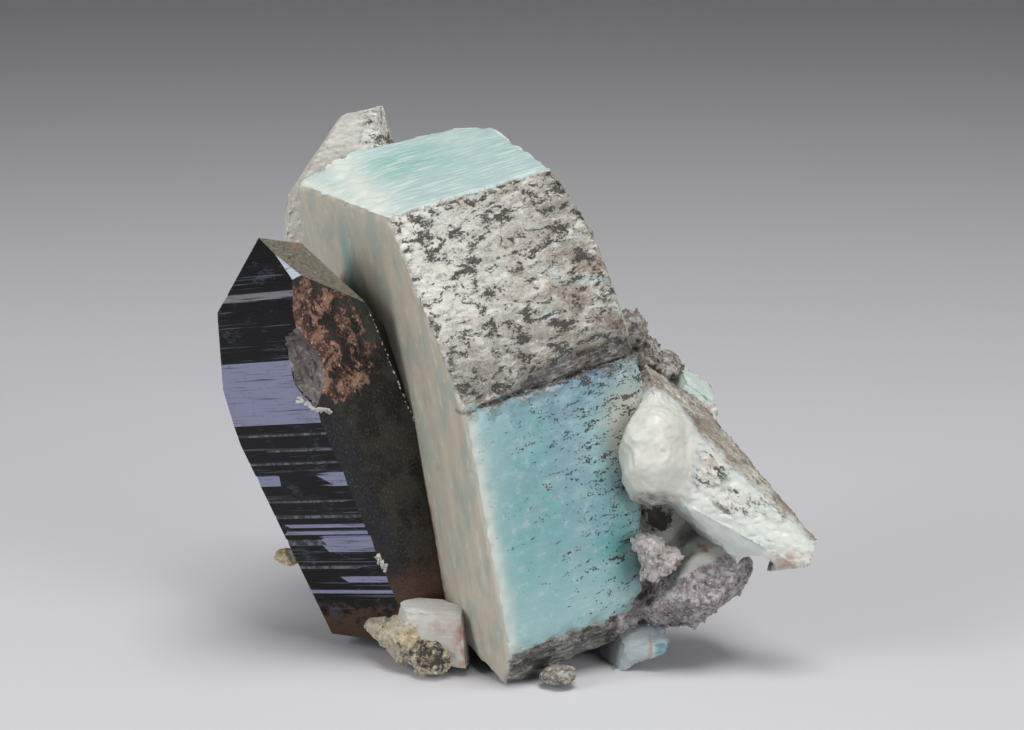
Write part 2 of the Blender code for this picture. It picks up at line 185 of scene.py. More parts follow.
SIDE_PLACE = (26.2, 13.7, -17.5)
SIDE_FACES = [
    ("front", 9, 21, 5.4, ETCHED),
    ("slope", 61, 47, 5.0, ETCHED),
    ("under_front", -14, -19, 8.5, SMOOTH),
    ("under_left", -69, -44, 6.8, BROKEN),
    ("under", 20, -72, 14.8, BROKEN),
    ("tip", 92, -22, 16.9, SMOOTH),
    ("back_right", 150, -3, 3.2, ETCHED),
    ("back", -172, 12, 6.5, ETCHED),
    ("root", -88, -8, 8.2, BROKEN),
    ("shoulder", -54, 30, 11.7, ETCHED),
]
SIDE_COLOURS = ("#9DB9B3", "#B9BDBA", "#AFA393", "#B5B1A8")
SIDE_SPOTS = {
    "patches": [((-0.5, -5.0, 1.5), (5.0, 5, 3.4), 1.0), ((4.2, -6.0, -2.8), (4.6, 5, 2.6), 0.9),
                ((9.4, -6.2, -3.6), (3.2, 5, 2.0), 0.8)],
    # The cavity spots are painted shade in the hollow under the boss
    "cavity": [((-5.5, -9.5, -6.0), (3.6, 6, 3.2), 1.0), ((-8.8, -7.0, -5.6), (4, 6, 2.6), 0.8)],
    "stain": [((0.6, -8.5, -9.6), (2.4, 4, 1.8), 0.8), ((11.6, -9.0, -11.0), (4.6, 8, 2.4), 0.6)],
    "foot": [((-7.6, -8.0, -3.0), (5.0, 7, 2.8), 1.0)],
}
BOSS_PLACE = (-7.4, -4.3, 3.0)
BOSS_SIZE = (4.8, 5.4, 7.2)
BOSS_REACH = 1.55      # how far round the boss the skin is smoothed, as a share of its half sizes
BOSS_SWELL = 0.55      # how far its skin swells and sinks
FINER = 0.75           # mesh size of the small crystals as a share of the main one's
MELTING = 80           # rounds of smoothing that melt the boss into its crystal
NOTCH_PLACE = (6.6, -9.0, -12.6)
NOTCH_SIZE = (2.7, 13.0, 3.1)
LIP_PLACE = (10.6, -13.2, -10.4)
LIP_SIZE = (3.0, 3.4, 2.2)

SPUR_PLACE = (-23.8, 41.0, 22.5)
SPUR_FACES = [
    ("left", -84, 8, 7.2, BROKEN),
    ("upper_left", -90, 34, 3.3, ETCHED),
    ("top", -84, 76, 4.8, ETCHED),
    ("right", 82, 15, 6.4, ETCHED),
    ("front", 8, 12, 3.8, ETCHED),
    ("back", 176, 10, 4.6, ETCHED),
    ("root", -120, -62, 14.5, BROKEN),
]
REAR_PLACE = (25.6, 21.5, -9.0)
REAR_FACES = [
    ("front", 5, 15, 2.6, ETCHED),
    ("top", 70, 52, 1.7, ETCHED),
    ("left", -62, 30, 3.6, SMOOTH),
    ("right", 95, -6, 2.8, ETCHED),
    ("back", 178, 20, 3.4, SMOOTH),
    ("root", -150, -50, 5.0, BROKEN),
]
FOOT_PLACE = (18.6, 13.2, -41.6)
FOOT_FACES = [
    ("front", -14, 2, 4.6, SMOOTH),
    ("front_right", 42, 0, 5.6, SMOOTH),
    ("top", -30, 62, 2.8, SMOOTH),
    ("left", -72, 12, 4.5, WAXY),
    ("right", 96, 10, 2.7, ETCHED),
    ("back", 180, 0, 4.6, BROKEN),
    ("base", 0, -90, 3.9, BROKEN),
    ("under_right", 90, -63, 1.3, BROKEN),
]
BLADE_PLACE = (-10.4, 9.4, -39.6)
BLADE_FACES = [
    ("front", -8, 8, 2.0, SMOOTH),
    ("top", 4, 74, 3.8, SMOOTH),
    ("left", -70, 0, 4.4, WAXY),
    ("right", 84, 6, 4.2, WAXY),
    ("back", 174, 0, 2.4, BROKEN),
    ("base", -14, -76, 4.3, BROKEN),
]

# Lumps: centre, half sizes, and turn about the vertical and the view axis in degrees.
MATRIX_LUMPS = [
    ((3.0, 27.5, -37.0), (19.0, 10.5, 12.0), 0, 0),
    ((25.2, 14.6, -33.2), (9.6, 9.0, 6.0), 0, -34),
    ((-10.0, 26.5, -38.0), (8.0, 9.0, 8.5), 0, 0),
    ((14.0, 18.0, -36.0), (8.0, 9.0, 8.0), 0, 0),
    ((20.5, 17.5, -24.0), (5.5, 6.0, 7.0), 0, 0),
]
CRUST_LUMPS = [
    ((-13.6, 11.0, -40.6), (4.4, 5.0, 4.4), 0, 12),
    ((-11.0, 7.4, -42.2), (3.2, 3.8, 3.2), 0, 0),
    ((-17.2, 15.0, -40.2), (3.4, 4.6, 2.8), 0, 20),
]
KNOB_LUMPS = [
    ((18.4, 8.0, -26.6), (2.6, 3.2, 2.0), 0, 10),
    ((20.6, 8.4, -28.4), (2.8, 3.2, 1.8), 0, -12),
    ((18.8, 8.2, -30.0), (2.2, 2.8, 1.7), 0, 0),
    ((18.6, 8.0, -28.2), (2.0, 2.8, 1.9), 0, 0),
    ((20.0, 8.0, -29.6), (1.8, 2.6, 1.4), 0, 20),
]
REAR_LUMPS = [
    ((15.7, 24.0, -0.6), (3.2, 4.6, 4.6), 0, 24),
    ((18.0, 23.4, -3.2), (3.4, 4.2, 3.2), 0, 30),
    ((20.6, 22.4, -4.8), (3.4, 3.8, 2.7), 0, 10),
]
NUB_LUMPS = [((6.2, 3.0, -43.1), (2.7, 3.4, 1.8), 0, 0)]
CHIP_LUMPS = [((-31.0, 22.4, -32.2), (2.6, 2.8, 1.6), 0, 0)]
# Fused lumps: the object, its CAD node and slot, and its lumps; mesh size as a share of the panel's;
# size and seed of its knobs; number, size and seed of its studs, with no number where the panel gives it;
# its material with a dark, a middle and a light colour; and its soft marks.
LUMP_PIECES = [
    ("albite_mass", "albite_matrix", "albite", MATRIX_LUMPS, 1.15, 1.0, 1.0, (None, 0.62, 11),
     ("albite_drusy", "#463E41", "#857B7F", "#C4B9BE"), {
         "stain": [((25.6, 9.5, -26.8), (2.8, 10, 2.6), 0.58), ((19.5, 7.0, -34.0), (3, 5, 1.2), 0.4)],
         # The dark spots here are painted shade in the hollow under the side crystal's boss and on the matrix
         # below it
         "dark_stain_and_shade": [((19.6, 9.5, -24.0), (5.2, 9, 4.4), 0.62), ((17.5, 9.0, -34.5), (3.0, 6, 1.8), 0.6),
                  ((22.0, 8.5, -38.5), (5, 6, 1.8), 0.35)]}),
    ("albite_knobs_visual", "albite_knobs", "albite", KNOB_LUMPS, 0.7, 0.65, 2.0, (70, 0.6, 12),
     ("albite_knobs_white", "#857C7A", "#B5ADA9", "#E3DEDA"), {
         "stain": [((22.6, 6.5, -28.6), (1.5, 3, 1.2), 0.6)],
         # A dark spot of painted shade under the side crystal's boss
         "dark_stain_and_shade": [((17.0, 6.5, -29.4), (2.2, 3, 2.2), 0.35)]}),
    ("rear_lumps_visual", "rear_feldspar_lumps", "grey_feldspar", REAR_LUMPS, 1.0, 0.8, 3.0, (160, 0.5, 13),
     ("grey_feldspar_sugary", "#38322E", "#7A6F69", "#CDC4BA"), {
         "dark_stain_and_shade": [((17.6, 21.0, -1.8), (2.6, 5, 2.0), 0.5)]}),
    ("crust_visual", "iron_stained_crust", "iron_stained_albite", CRUST_LUMPS, 0.85, 0.8, 4.0, (140, 0.5, 14),
     ("albite_iron_stained", "#7D6F57", "#BDB094", "#DDD5C0"), {
         "yellow": [((-13.4, 8.0, -39.6), (5.5, 6, 3.2), 0.48), ((-12.0, 5, -44), (4, 5, 2.4), 0.42)],
         "dark_stain_and_shade": [((-11.0, 5.6, -40.6), (5.0, 6, 5.6), 0.50), ((-9.4, 5.0, -41.4), (3.6, 5, 4.6), 0.46),
                  ((-15.0, 6.5, -41.0), (3.6, 5, 3.0), 0.40)]}),
    ("nub_visual", "foot_nub", "grey_feldspar", NUB_LUMPS, 0.75, 0.6, 5.0, None,
     ("grey_feldspar_nub", "#38322D", "#6F655C", "#B5AA9C"), {
         "dark_stain_and_shade": [((7.8, 3.0, -43.0), (1.6, 5, 1.6), 0.35)]}),
    ("quartz_chip_visual", "quartz_chip", "iron_stained_albite", CHIP_LUMPS, 0.7, 0.5, 6.0, None,
     ("albite_chip_yellow", "#86734E", "#B3A07A", "#D3C8AC"), {}),
]
UNDERSIDE_AT = (17.0, -32.9)  # a place, across and up, on the cleaved underside's lower line
UNDERSIDE_SLOPE = 0.428
UNDERSIDE_LEFT = 15.5
GOLDEN_ANGLE = 137.5
FRACTURES = 14         # flat fractures across each lump
FRACTURE_DEPTH = 0.84  # their distance from its middle, as a share of its radius

# The photograph's camera, from its middle pixel's point on the specimen.
VIEW_DISTANCE = 369.8
VIEW_ELEVATION = 12.0
LENS = 100.0

# Studio, in metres: each soft light's place, width, height and power
LIGHTS = {
    "key_light": ((0.06, -0.16, 0.70), 0.34, 0.34, 3.6),
    "fill_light": ((0.46, -0.50, 0.26), 0.36, 0.36, 2.2),
    "left_light": ((-0.55, -0.30, 0.30), 0.30, 0.40, 2.3),
}
LIGHT_AIM = (0.0, 0.0, 0.035)
ROOM_LIGHT = 0.16
SWEEP_HALF = 1.5       # half the width of the paper sweep
SWEEP_BEND = 0.5       # radius in which the paper bends up behind the specimen

# What the feldspar reads from its crystal's vertices
FELDSPAR_MARKS = ("green", "blue", "vein", "perthite", "white", "cream", "brown", "etched", "specks",
                  "dashes", "stain", "dark_stain_and_shade")

# What the albite reads: each mark's tint, and where in its patches the tint starts
LUMP_MARKS = {
    "calm": ("#B1B2AD", 0.45),
    "stain": ("#A47650", 0.90),
    "yellow": ("#C6AC76", 0.90),
    # The dark tint is dark mineral on the crust, and painted shade on the matrix and its knobs under the side
    # crystal
    "dark_stain_and_shade": ("#2C2B26", 0.85),
}


def linear(hex_colour):
    """An sRGB hex colour as Blender's linear red, green, blue and alpha."""
    parts = [int(hex_colour[i:i + 2], 16) / 255 for i in (1, 3, 5)]
    return tuple(c / 12.92 if c <= 0.04045 else ((c + 0.055) / 1.055) ** 2.4 for c in parts) + (1.0,)


class MicroclineSettings(bpy.types.PropertyGroup):
    """Sizes and colours of the feldspar crystals."""
    mesh_size: FloatProperty(
        name="Mesh size", description="Edge length of the crystals' meshes",
        default=0.40 * MM, min=0.2 * MM, subtype="DISTANCE", unit="LENGTH")
    edge_wear: FloatProperty(
        name="Edge wear", description="How far the crystals' edges are worn back",
        default=0.38 * MM, min=0.0, subtype="DISTANCE", unit="LENGTH")
    etch_depth: FloatProperty(
        name="Etch depth", description="Depth of the plates and pits on etched faces",
        default=0.72 * MM, min=0.0, subtype="DISTANCE", unit="LENGTH")
    green: FloatVectorProperty(
        name="Amazonite green", description="Deepest blue-green of the main crystal",
        subtype="COLOR", size=4, default=linear("#5CA39E"), min=0.0, max=1.0)
    pale: FloatVectorProperty(
        name="Pale blue", description="Milky blue of the main crystal's lower front",
        subtype="COLOR", size=4, default=linear("#8FB1B3"), min=0.0, max=1.0)
    cream: FloatVectorProperty(
        name="Cream", description="Waxy cream of the main crystal's left side",
        subtype="COLOR", size=4, default=linear("#B9B2A2"), min=0.0, max=1.0)


class QuartzSettings(bpy.types.PropertyGroup):
    """Finish of the smoky quartz."""
    body: FloatVectorProperty(
        name="Smoke", description="Body colour of the smoky quartz",
        subtype="COLOR", size=4, default=linear("#0B0C0E"), min=0.0, max=1.0)
    gloss: FloatProperty(
        name="Roughness", description="Roughness of its glossy faces",
        default=0.09, min=0.0, max=1.0, subtype="FACTOR")
    lean_scale: FloatProperty(
        name="Step lean", description="How strongly its growth steps lean back",
        default=1.0, min=0.0, max=2.0)


class MatrixSettings(bpy.types.PropertyGroup):
    """Sizes of the albite matrix."""
    mesh_size: FloatProperty(
        name="Mesh size", description="Edge length of the lumps' meshes",
        default=0.34 * MM, min=0.2 * MM, subtype="DISTANCE", unit="LENGTH")
    crystals: IntProperty(
        name="Small crystals", description="How many small albite crystals stud the matrix",
        default=900, min=0, max=3000)


class StageSettings(bpy.types.PropertyGroup):
    """Floor and light."""
    floor: FloatVectorProperty(
        name="Floor", description="Colour of the floor",
        subtype="COLOR", size=4, default=linear("#C6C5C9"), min=0.0, max=1.0)
    light: FloatProperty(
        name="Light", description="Strength of the studio light",
        default=1.0, min=0.0, max=10.0)


def looks_along(azimuth, elevation):
    """Unit vector of a face that looks this way."""
    a = radians(azimuth)
    e = radians(elevation)
    return Vector((sin(a) * cos(e), -cos(a) * cos(e), sin(e)))


def stand(place, tilt=(0, 0, 0)):
    """Matrix from a crystal's own millimetres to the frame's metres."""
    turn = Euler([radians(angle) for angle in tilt]).to_matrix().to_4x4()
    return STANDING @ Matrix.Translation(place) @ turn


def cut_off(bm, point, normal):
    """Cut away what lies past a plane and close the cut."""
    geometry = bm.verts[:] + bm.edges[:] + bm.faces[:]
    cut = bmesh.ops.bisect_plane(bm, geom=geometry, plane_co=point, plane_no=normal, clear_outer=True)
    rim = [item for item in cut["geom_cut"] if isinstance(item, bmesh.types.BMEdge)]
    if rim:
        bmesh.ops.contextual_create(bm, geom=rim)


def crystal_block(faces, size=120.0):
    """A block cut by its flat faces, in the crystal's own millimetres."""
    bm = bmesh.new()
    bmesh.ops.create_cube(bm, size=size)
    for _, azimuth, elevation, distance, _ in faces:
        normal = looks_along(azimuth, elevation)
        cut_off(bm, normal * distance, normal)
    return bm


def add_lump(bm, centre, half_sizes, yaw, roll, subdivisions):
    """Add a broken lump: an ellipsoid with knobs on it and flat fractures across it."""
    made = bmesh.ops.create_icosphere(bm, subdivisions=subdivisions, radius=1.0)
    turn = Euler((0, radians(roll), radians(yaw))).to_matrix()
    middle = Vector(centre)
    for vert in made["verts"]:
        ray = vert.co.normalized()
        for fracture in range(FRACTURES):
            across = looks_along(fracture * GOLDEN_ANGLE, -80 + 160 * (fracture + 0.5) / FRACTURES)
            ray -= across * max(0.0, ray.dot(across) - FRACTURE_DEPTH)
        spot = turn @ Vector([ray[i] * half_sizes[i] for i in range(3)])
        knob = 0.16 * noise.noise((spot + middle) / 4.5) + 0.10 * noise.noise((spot + middle) / 2.0)
        vert.co = middle + spot * (1 + knob)


def add_ellipsoid(bm, centre, half_sizes, subdivisions=4):
    """Add a plain ellipsoid."""
    made = bmesh.ops.create_icosphere(bm, subdivisions=subdivisions, radius=1.0)
    bmesh.ops.scale(bm, vec=half_sizes, verts=made["verts"])
    bmesh.ops.translate(bm, vec=centre, verts=made["verts"])


def new_object(name, bm, base):
    """Put a mesh in millimetres into the scene, in the frame's metres."""
    bmesh.ops.transform(bm, matrix=base, verts=bm.verts)
    bmesh.ops.recalc_face_normals(bm, faces=bm.faces)
    mesh = bpy.data.meshes.new(name)
    bm.to_mesh(mesh)
    bm.free()
    made = bpy.data.objects.new(name, mesh)
    bpy.context.scene.collection.objects.link(made)
    return made


def apply_modifiers(target):
    """Make the modifiers' result the object's own mesh."""
    shaped = target.evaluated_get(bpy.context.evaluated_depsgraph_get())
    mesh = bpy.data.meshes.new_from_object(shaped)
    target.modifiers.clear()
    old = target.data
    target.data = mesh
    bpy.data.meshes.remove(old)


def carve(target, cutter, operation="DIFFERENCE"):
    """Cut or join with another solid, which is used up."""
    modifier = target.modifiers.new(operation, "BOOLEAN")
    modifier.operation = operation
    modifier.solver = "EXACT"
    modifier.object = cutter
    apply_modifiers(target)
    bpy.data.objects.remove(cutter)


def refine(target, size):
    """Remesh a solid in small squares that keep its sharp edges."""
    cells = max(target.dimensions) / size
    depth = ceil(log2(cells / 0.9))
    modifier = target.modifiers.new("squares", "REMESH")
    modifier.mode = "SHARP"
    modifier.octree_depth = depth
    modifier.scale = cells / 2 ** depth
    modifier.use_remove_disconnected = False
    apply_modifiers(target)


def fuse(target, size):
    """Remesh overlapping lumps into one even skin."""
    modifier = target.modifiers.new("skin", "REMESH")
    modifier.mode = "VOXEL"
    modifier.voxel_size = size
    apply_modifiers(target)


def per_vertex(mesh, key):
    """A vector of every vertex, such as its place or its normal, as an array."""
    flat = np.zeros(len(mesh.vertices) * 3, np.float32)
    mesh.vertices.foreach_get(key, flat)
    return flat.reshape(-1, 3)


def points_of(mesh):
    """Vertex positions as an array."""
    return per_vertex(mesh, "co").astype(float)


def in_frame_of(base, points):
    """Positions in a crystal's own millimetres."""
    back = np.array(base.inverted())
    return points @ back[:3, :3].T + back[:3, 3]


def face_heights(points, faces):
    """Height of each point over each face: zero on it and negative under it."""
    normals = np.array([looks_along(f[1], f[2]) for f in faces])
    distances = np.array([f[3] for f in faces])
    return points @ normals.T - distances


def nearest_faces(points, faces):
    """For each point, its nearest face, how deep it lies under it, and how near the next face is."""
    heights = face_heights(points, faces)
    order = np.argsort(-heights, axis=1)
    rows = np.arange(len(points))
    first = heights[rows, order[:, 0]]
    second = heights[rows, order[:, 1]]
    return order[:, 0], -first, first - second


def rise(value, low, high):
    """Smooth step from 0 at low to 1 at high."""
    share = min(1.0, max(0.0, (value - low) / (high - low)))
    return share * share * (3 - 2 * share)


def plates(point, length, width):
    """Etched plates: each is a cell at its own height, with a crevice round it, from 0 to 1."""
    near, centres = noise.voronoi(Vector((point.x / length, point.y / width, point.z / width)))
    height = 0.5 + 0.6 * noise.noise(centres[0] * 5.1)
    crevice = max(0.0, 1 - (near[1] - near[0]) / 0.22)
    return 0.55 * height + 0.45 * crevice


def relief(finish, point):
    """How deep a finish is worn at a point, from 0 to about 1."""
    if finish == ETCHED:
        return 0.75 * plates(point, 2.3, 1.15) + 0.25 * (0.5 + noise.noise(point * 1.7))
    if finish == BROKEN:
        return 0.5 * plates(point, 1.7, 1.7) + 0.8 * (0.5 + noise.noise(point * 0.45))
    if finish == WAXY:
        return 0.22 + 0.25 * noise.noise(Vector((point.x * 0.5, point.y * 0.5, point.z * 0.12)))
    return 0.10 + 0.09 * noise.noise(point * 0.3)


def wear_crystal(target, base, faces, settings, calm=0.0):
    """Work each face's finish into its surface and wear the edges. Gives what each point lies on.

    Calm, from 0 to 1, is how far the finish is left out: one value, or one for each point.
    """
    mesh = target.data
    points = points_of(mesh)
    own = in_frame_of(base, points)
    nearest, depth, gap = nearest_faces(own, faces)
    normals = per_vertex(mesh, "normal")
    still = np.broadcast_to(calm, len(points))
    for i, vert in enumerate(mesh.vertices):
        spot = Vector(own[i])
        on_face = depth[i] < ON_FACE
        finish = faces[nearest[i]][4] if on_face else BROKEN
        edge = rise(-gap[i], -EDGE_WIDTH, 0.0) if on_face else 0.0
        chip = 0.55 + 1.6 * max(0.0, 0.15 + noise.noise(spot * 0.55 + Vector((7, 3, 1))))
        deep = settings.etch_depth * relief(finish, spot) + settings.edge_wear * edge * chip
        vert.co = Vector(points[i]) - Vector(normals[i]) * deep * (1 - still[i])
    return own, nearest, gap


def on_floor(mesh):
    """Nothing reaches below the floor."""
    for vert in mesh.vertices:
        vert.co.z = max(vert.co.z, 0.0)


def paint(mesh, name, values):
    """Store how strongly a tint or finish shows: one value, or one for each vertex."""
    stored = mesh.attributes.new(name, "FLOAT", "POINT")
    shown = np.broadcast_to(np.clip(values, 0.0, 1.0), len(mesh.vertices))
    stored.data.foreach_set("value", np.array(shown, np.float32))


def mark_all(mesh, names, marks):
    """Paint every mark that a material reads. Those not given are zero."""
    for name in names:
        paint(mesh, name, marks.get(name, 0.0))


def far_from(own, centre, half_sizes):
    """Distance from a place as a share of its half sizes: 1 on the ellipsoid's skin."""
    return np.sqrt((((own - np.array(centre)) / np.array(half_sizes)) ** 2).sum(1))


def near_to(own, centre, half_sizes, reach, soft):
    """1 near a place, falling to 0 at its reach over a soft rim."""
    return np.clip((reach - far_from(own, centre, half_sizes)) / soft, 0, 1)


def spots(own, places):
    """Strength of soft spots round places, each a centre, half sizes and strength."""
    total = np.zeros(len(own))
    for centre, half_sizes, strength in places:
        total = np.maximum(total, strength * near_to(own, centre, half_sizes, 1.0, 0.625))
    return total


def mottle(own, size, seed=0.0):
    """Cloudy noise about 0.5, with clouds of this size in millimetres."""
    shift = Vector((seed, seed * 0.7, seed * 0.3))
    return np.array([0.5 + 0.5 * noise.noise(Vector(p) / size + shift) for p in own])


def shade(target, angle=38):
    """Smooth shading that keeps edges sharper than this angle."""
    target.data.shade_smooth()
    target.data.set_sharp_from_angle(angle=radians(angle))


def hand_in(target, node, material):
    """Give a piece its material and let it stand for its CAD node."""
    if material is not None:
        target.data.materials.clear()
        target.data.materials.append(material)
    on_floor(target.data)
    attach(target, "root")
    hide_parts(node)


def add(tree, kind, links=None, out=None, **settings):
    """Add a node, with its settings and what goes into its sockets. Gives the node, or one of its outputs."""
    made = tree.nodes.new(kind)
    for name, value in settings.items():
        setattr(made, name, value)
    for socket, source in (links or {}).items():
        if isinstance(source, bpy.types.NodeSocket):
            tree.links.new(source, made.inputs[socket])
        else:
            made.inputs[socket].default_value = source
    return made if out is None else made.outputs[out]


def new_material(name):
    """An empty node material, its tree and its shader."""
    material = bpy.data.materials.new(name)
    material.use_nodes = True
    tree = material.node_tree
    shader = tree.nodes["Principled BSDF"]
    return material, tree, shader


def crystal_place(tree, place, tilt):
    """Position in a crystal's own millimetres."""
    coordinates = add(tree, "ShaderNodeTexCoord", out="Object")
    return add(tree, "ShaderNodeMapping", {
        "Vector": coordinates, "Location": stand(place).to_translation(),
        "Rotation": [radians(angle) for angle in tilt], "Scale": (MM, MM, MM)}, "Vector",
        vector_type="TEXTURE")


def clouds(tree, own, size, detail=3.0, roughness=0.55, distortion=0.0):
    """Cloudy pattern about 0.5, with clouds of these millimetres along the crystal's axes."""
    stretched = add(tree, "ShaderNodeMapping", {"Vector": own, "Scale": [1 / s for s in size]}, "Vector")
    return add(tree, "ShaderNodeTexNoise", {
        "Vector": stretched, "Scale": 1.0, "Detail": detail, "Roughness": roughness,
        "Distortion": distortion}, "Fac")


def layer(tree, under, tint, pattern, low, high, share=1.0):
    """Lay a tint over a colour where a pattern rises from low to high, as far as its share."""
    under = linear(under) if isinstance(under, str) else under
    tint = linear(tint) if isinstance(tint, str) else tint
    rising = add(tree, "ShaderNodeMapRange", {"Value": pattern, "From Min": low, "From Max": high}, "Result",
                 interpolation_type="SMOOTHSTEP")
    strength = add(tree, "ShaderNodeMath", {0: rising, 1: share}, 0, operation="MULTIPLY")
    return add(tree, "ShaderNodeMix", {0: strength, 6: under, 7: tint}, 2, data_type="RGBA")


def coats(tree, colour, *rows):
    """Lay tints over a colour one after the other. A row is a tint, a pattern, low, high and its share."""
    for row in rows:
        colour = layer(tree, colour, *row)
    return colour


def heap(tree, base, *rows):
    """Add patterns to one, each times its share."""
    for pattern, share in rows:
        base = add(tree, "ShaderNodeMath", {0: pattern, 1: share, 2: base}, 0, operation="MULTIPLY_ADD")
    return base


def finish_shader(tree, shader, colour, relief_of, height, roughness, ior, specular=0.5):
    """Connect a colour, a relief of this height in millimetres and a roughness, and set the reflection."""
    bump = add(tree, "ShaderNodeBump", {
        "Height": relief_of, "Strength": 1.0, "Distance": height * MM}, "Normal")
    tree.links.new(colour, shader.inputs["Base Color"])
    tree.links.new(bump, shader.inputs["Normal"])
    if isinstance(roughness, bpy.types.NodeSocket):
        tree.links.new(roughness, shader.inputs["Roughness"])
    else:
        shader.inputs["Roughness"].default_value = roughness
    shader.inputs["IOR"].default_value = ior
    shader.inputs["Specular IOR Level"].default_value = specular


def let_light_in(shader, weight, radius):
    """Let a little light through a milky mineral, less than a millimetre deep."""
    shader.inputs["Subsurface Weight"].default_value = weight
    shader.inputs["Subsurface Radius"].default_value = radius
    shader.inputs["Subsurface Scale"].default_value = 0.8 * MM


def feldspar(name, place, tilt, green, pale, cream, etched_tint):
    """Microcline feldspar, grown as a blocky crystal, then etched and stained in nature.

    Its smooth faces are milky, with fine white lamellae along X. Etched faces are sugary plates with
    black grains between them. The left side is waxy, with upright fibres. Marks say where each shows.
    """
    material, tree, shader = new_material(name)
    own = crystal_place(tree, place, tilt)
    mark = {}
    for title in FELDSPAR_MARKS:
        mark[title] = add(tree, "ShaderNodeAttribute", out="Fac", attribute_name=title)

    # Milky body with lamellae 0.45 mm wide and 5 mm long
    lamellae = clouds(tree, own, (5.0, 0.45, 0.45), 4.0, 0.65, 0.2)
    body = coats(
        tree, pale,
        (green, clouds(tree, own, (6.0, 5.0, 5.0)), 0.28, 0.60, mark["green"]),
        ("#6B8C9C", clouds(tree, own, (4.0, 3.0, 3.0)), 0.25, 0.60, mark["blue"]),
        ("#C4D3D1", clouds(tree, own, (1.8, 1.3, 1.3), 4.0, 0.7), 0.50, 0.72, 0.35),
        ("#DCE4DF", lamellae, 0.46, 0.68, mark["perthite"]))

    # Waxy side with upright fibres 0.7 mm wide and 8 mm long
    fibres = clouds(tree, own, (0.7, 0.7, 8.0), 4.0, 0.7, 0.5)
    waxy = coats(
        tree, cream,
        ("#8A8678", fibres, 0.47, 0.72, 0.30),
        ("#9BA69B", clouds(tree, own, (4.0, 3.6, 5.0)), 0.46, 0.64, 0.7),
        ("#CCC8BA", clouds(tree, own, (1.5, 1.3, 3.0), 4.0, 0.7), 0.53, 0.70, 0.65))
    body = coats(
        tree, body,
        (waxy, mark["cream"], 0.1, 0.8),
        (green, mark["vein"], 0.0, 1.0),
        ("#D5D6CC", mark["white"], 0.0, 1.0))

    # Sugary plates 2.6 by 1.3 mm, of grains 0.3 mm across
    grains = clouds(tree, own, (0.40, 0.30, 0.30), 3.0, 0.7)
    plate = clouds(tree, own, (2.6, 1.3, 1.3), 3.0, 0.6, 0.8)
    skin = coats(
        tree, "#8B857A",
        (etched_tint, grains, 0.34, 0.50),
        ("#DEDCD3", plate, 0.50, 0.62, 0.9),
        ("#B4C2BF", clouds(tree, own, (5.0, 2.4, 2.4)), 0.50, 0.64, 0.6),
        ("#8A7C6D", clouds(tree, own, (6.0, 2.6, 2.6), 4.0, 0.65), 0.36, 0.62, mark["brown"]),
        ("#E6E3DA", clouds(tree, own, (1.6, 0.9, 0.9), 4.0, 0.7), 0.30, 0.58, mark["white"]),
        # Painted highlight: white glints on the highest sugary grains
        ("#F1EEE6", grains, 0.60, 0.70, 0.75))

    # Black mineral grains of 0.3 mm, gathered between the plates
    dots = clouds(tree, own, (0.42, 0.30, 0.30), 4.0, 0.75)
    crowd = clouds(tree, own, (3.4, 1.9, 1.9), 3.0, 0.6, 1.0)
    gathered = heap(tree, dots, (crowd, 1.4), (plate, -0.7))
    black = add(tree, "ShaderNodeMapRange", {"Value": gathered, "From Min": 0.93, "From Max": 1.02}, "Result")
    black = add(tree, "ShaderNodeMath", {0: black, 1: mark["specks"]}, 0, operation="MULTIPLY")

    # Pits of 0.3 to 0.6 mm in rows along X
    dash = clouds(tree, own, (0.34, 0.26, 0.26), 2.0, 0.6)
    rows = clouds(tree, own, (3.0, 1.0, 1.0), 2.5, 0.6, 1.2)
    dashes = mark["dashes"]
    gathered = heap(tree, dash, (rows, 1.1), (dashes, 0.22))
    pits = add(tree, "ShaderNodeMapRange", {"Value": gathered, "From Min": 1.38, "From Max": 1.45}, "Result")
    shown = add(tree, "ShaderNodeMapRange", {"Value": dashes, "From Min": 0.02, "From Max": 0.12}, "Result")
    pits = add(tree, "ShaderNodeMath", {0: pits, 1: shown}, 0, operation="MULTIPLY")

    # Last come iron oxide, and fine dark lines: painted shade under the main crystal's ledge, in its crack
    # and in the hollow under the side crystal's boss, which also darken the broken faces underneath
    colour = coats(
        tree, body,
        (skin, mark["etched"], 0.30, 0.70),
        ("#3A3933", black, 0.0, 1.0, 0.92),
        ("#39302A", pits, 0.0, 1.0, 0.9),
        ("#9A5A38", clouds(tree, own, (1.2, 1.2, 1.2)), 0.35, 0.60, mark["stain"]),
        ("#353137", clouds(tree, own, (2.6, 0.5, 0.5), 4.0, 0.7), 0.25, 0.60, mark["dark_stain_and_shade"]))

    # Relief: plates and grains stand up, black grains and pits are hollows
    height = heap(tree, grains, (plate, 0.9))
    height = add(tree, "ShaderNodeMath", {0: height, 1: mark["etched"]}, 0, operation="MULTIPLY")
    ribs = add(tree, "ShaderNodeMath", {0: lamellae, 1: mark["perthite"]}, 0, operation="MULTIPLY")
    cords = add(tree, "ShaderNodeMath", {0: fibres, 1: mark["cream"]}, 0, operation="MULTIPLY")
    height = heap(tree, height, (black, -0.25), (pits, -0.30), (ribs, 0.16), (cords, 0.16))
    rough = add(tree, "ShaderNodeMapRange", {
        "Value": mark["etched"], "To Min": 0.40, "To Max": 0.72}, "Result")
    finish_shader(tree, shader, colour, height, 0.40, rough, FELDSPAR_IOR)
    let_light_in(shader, 0.12, (1.0, 1.0, 0.9))
    return material


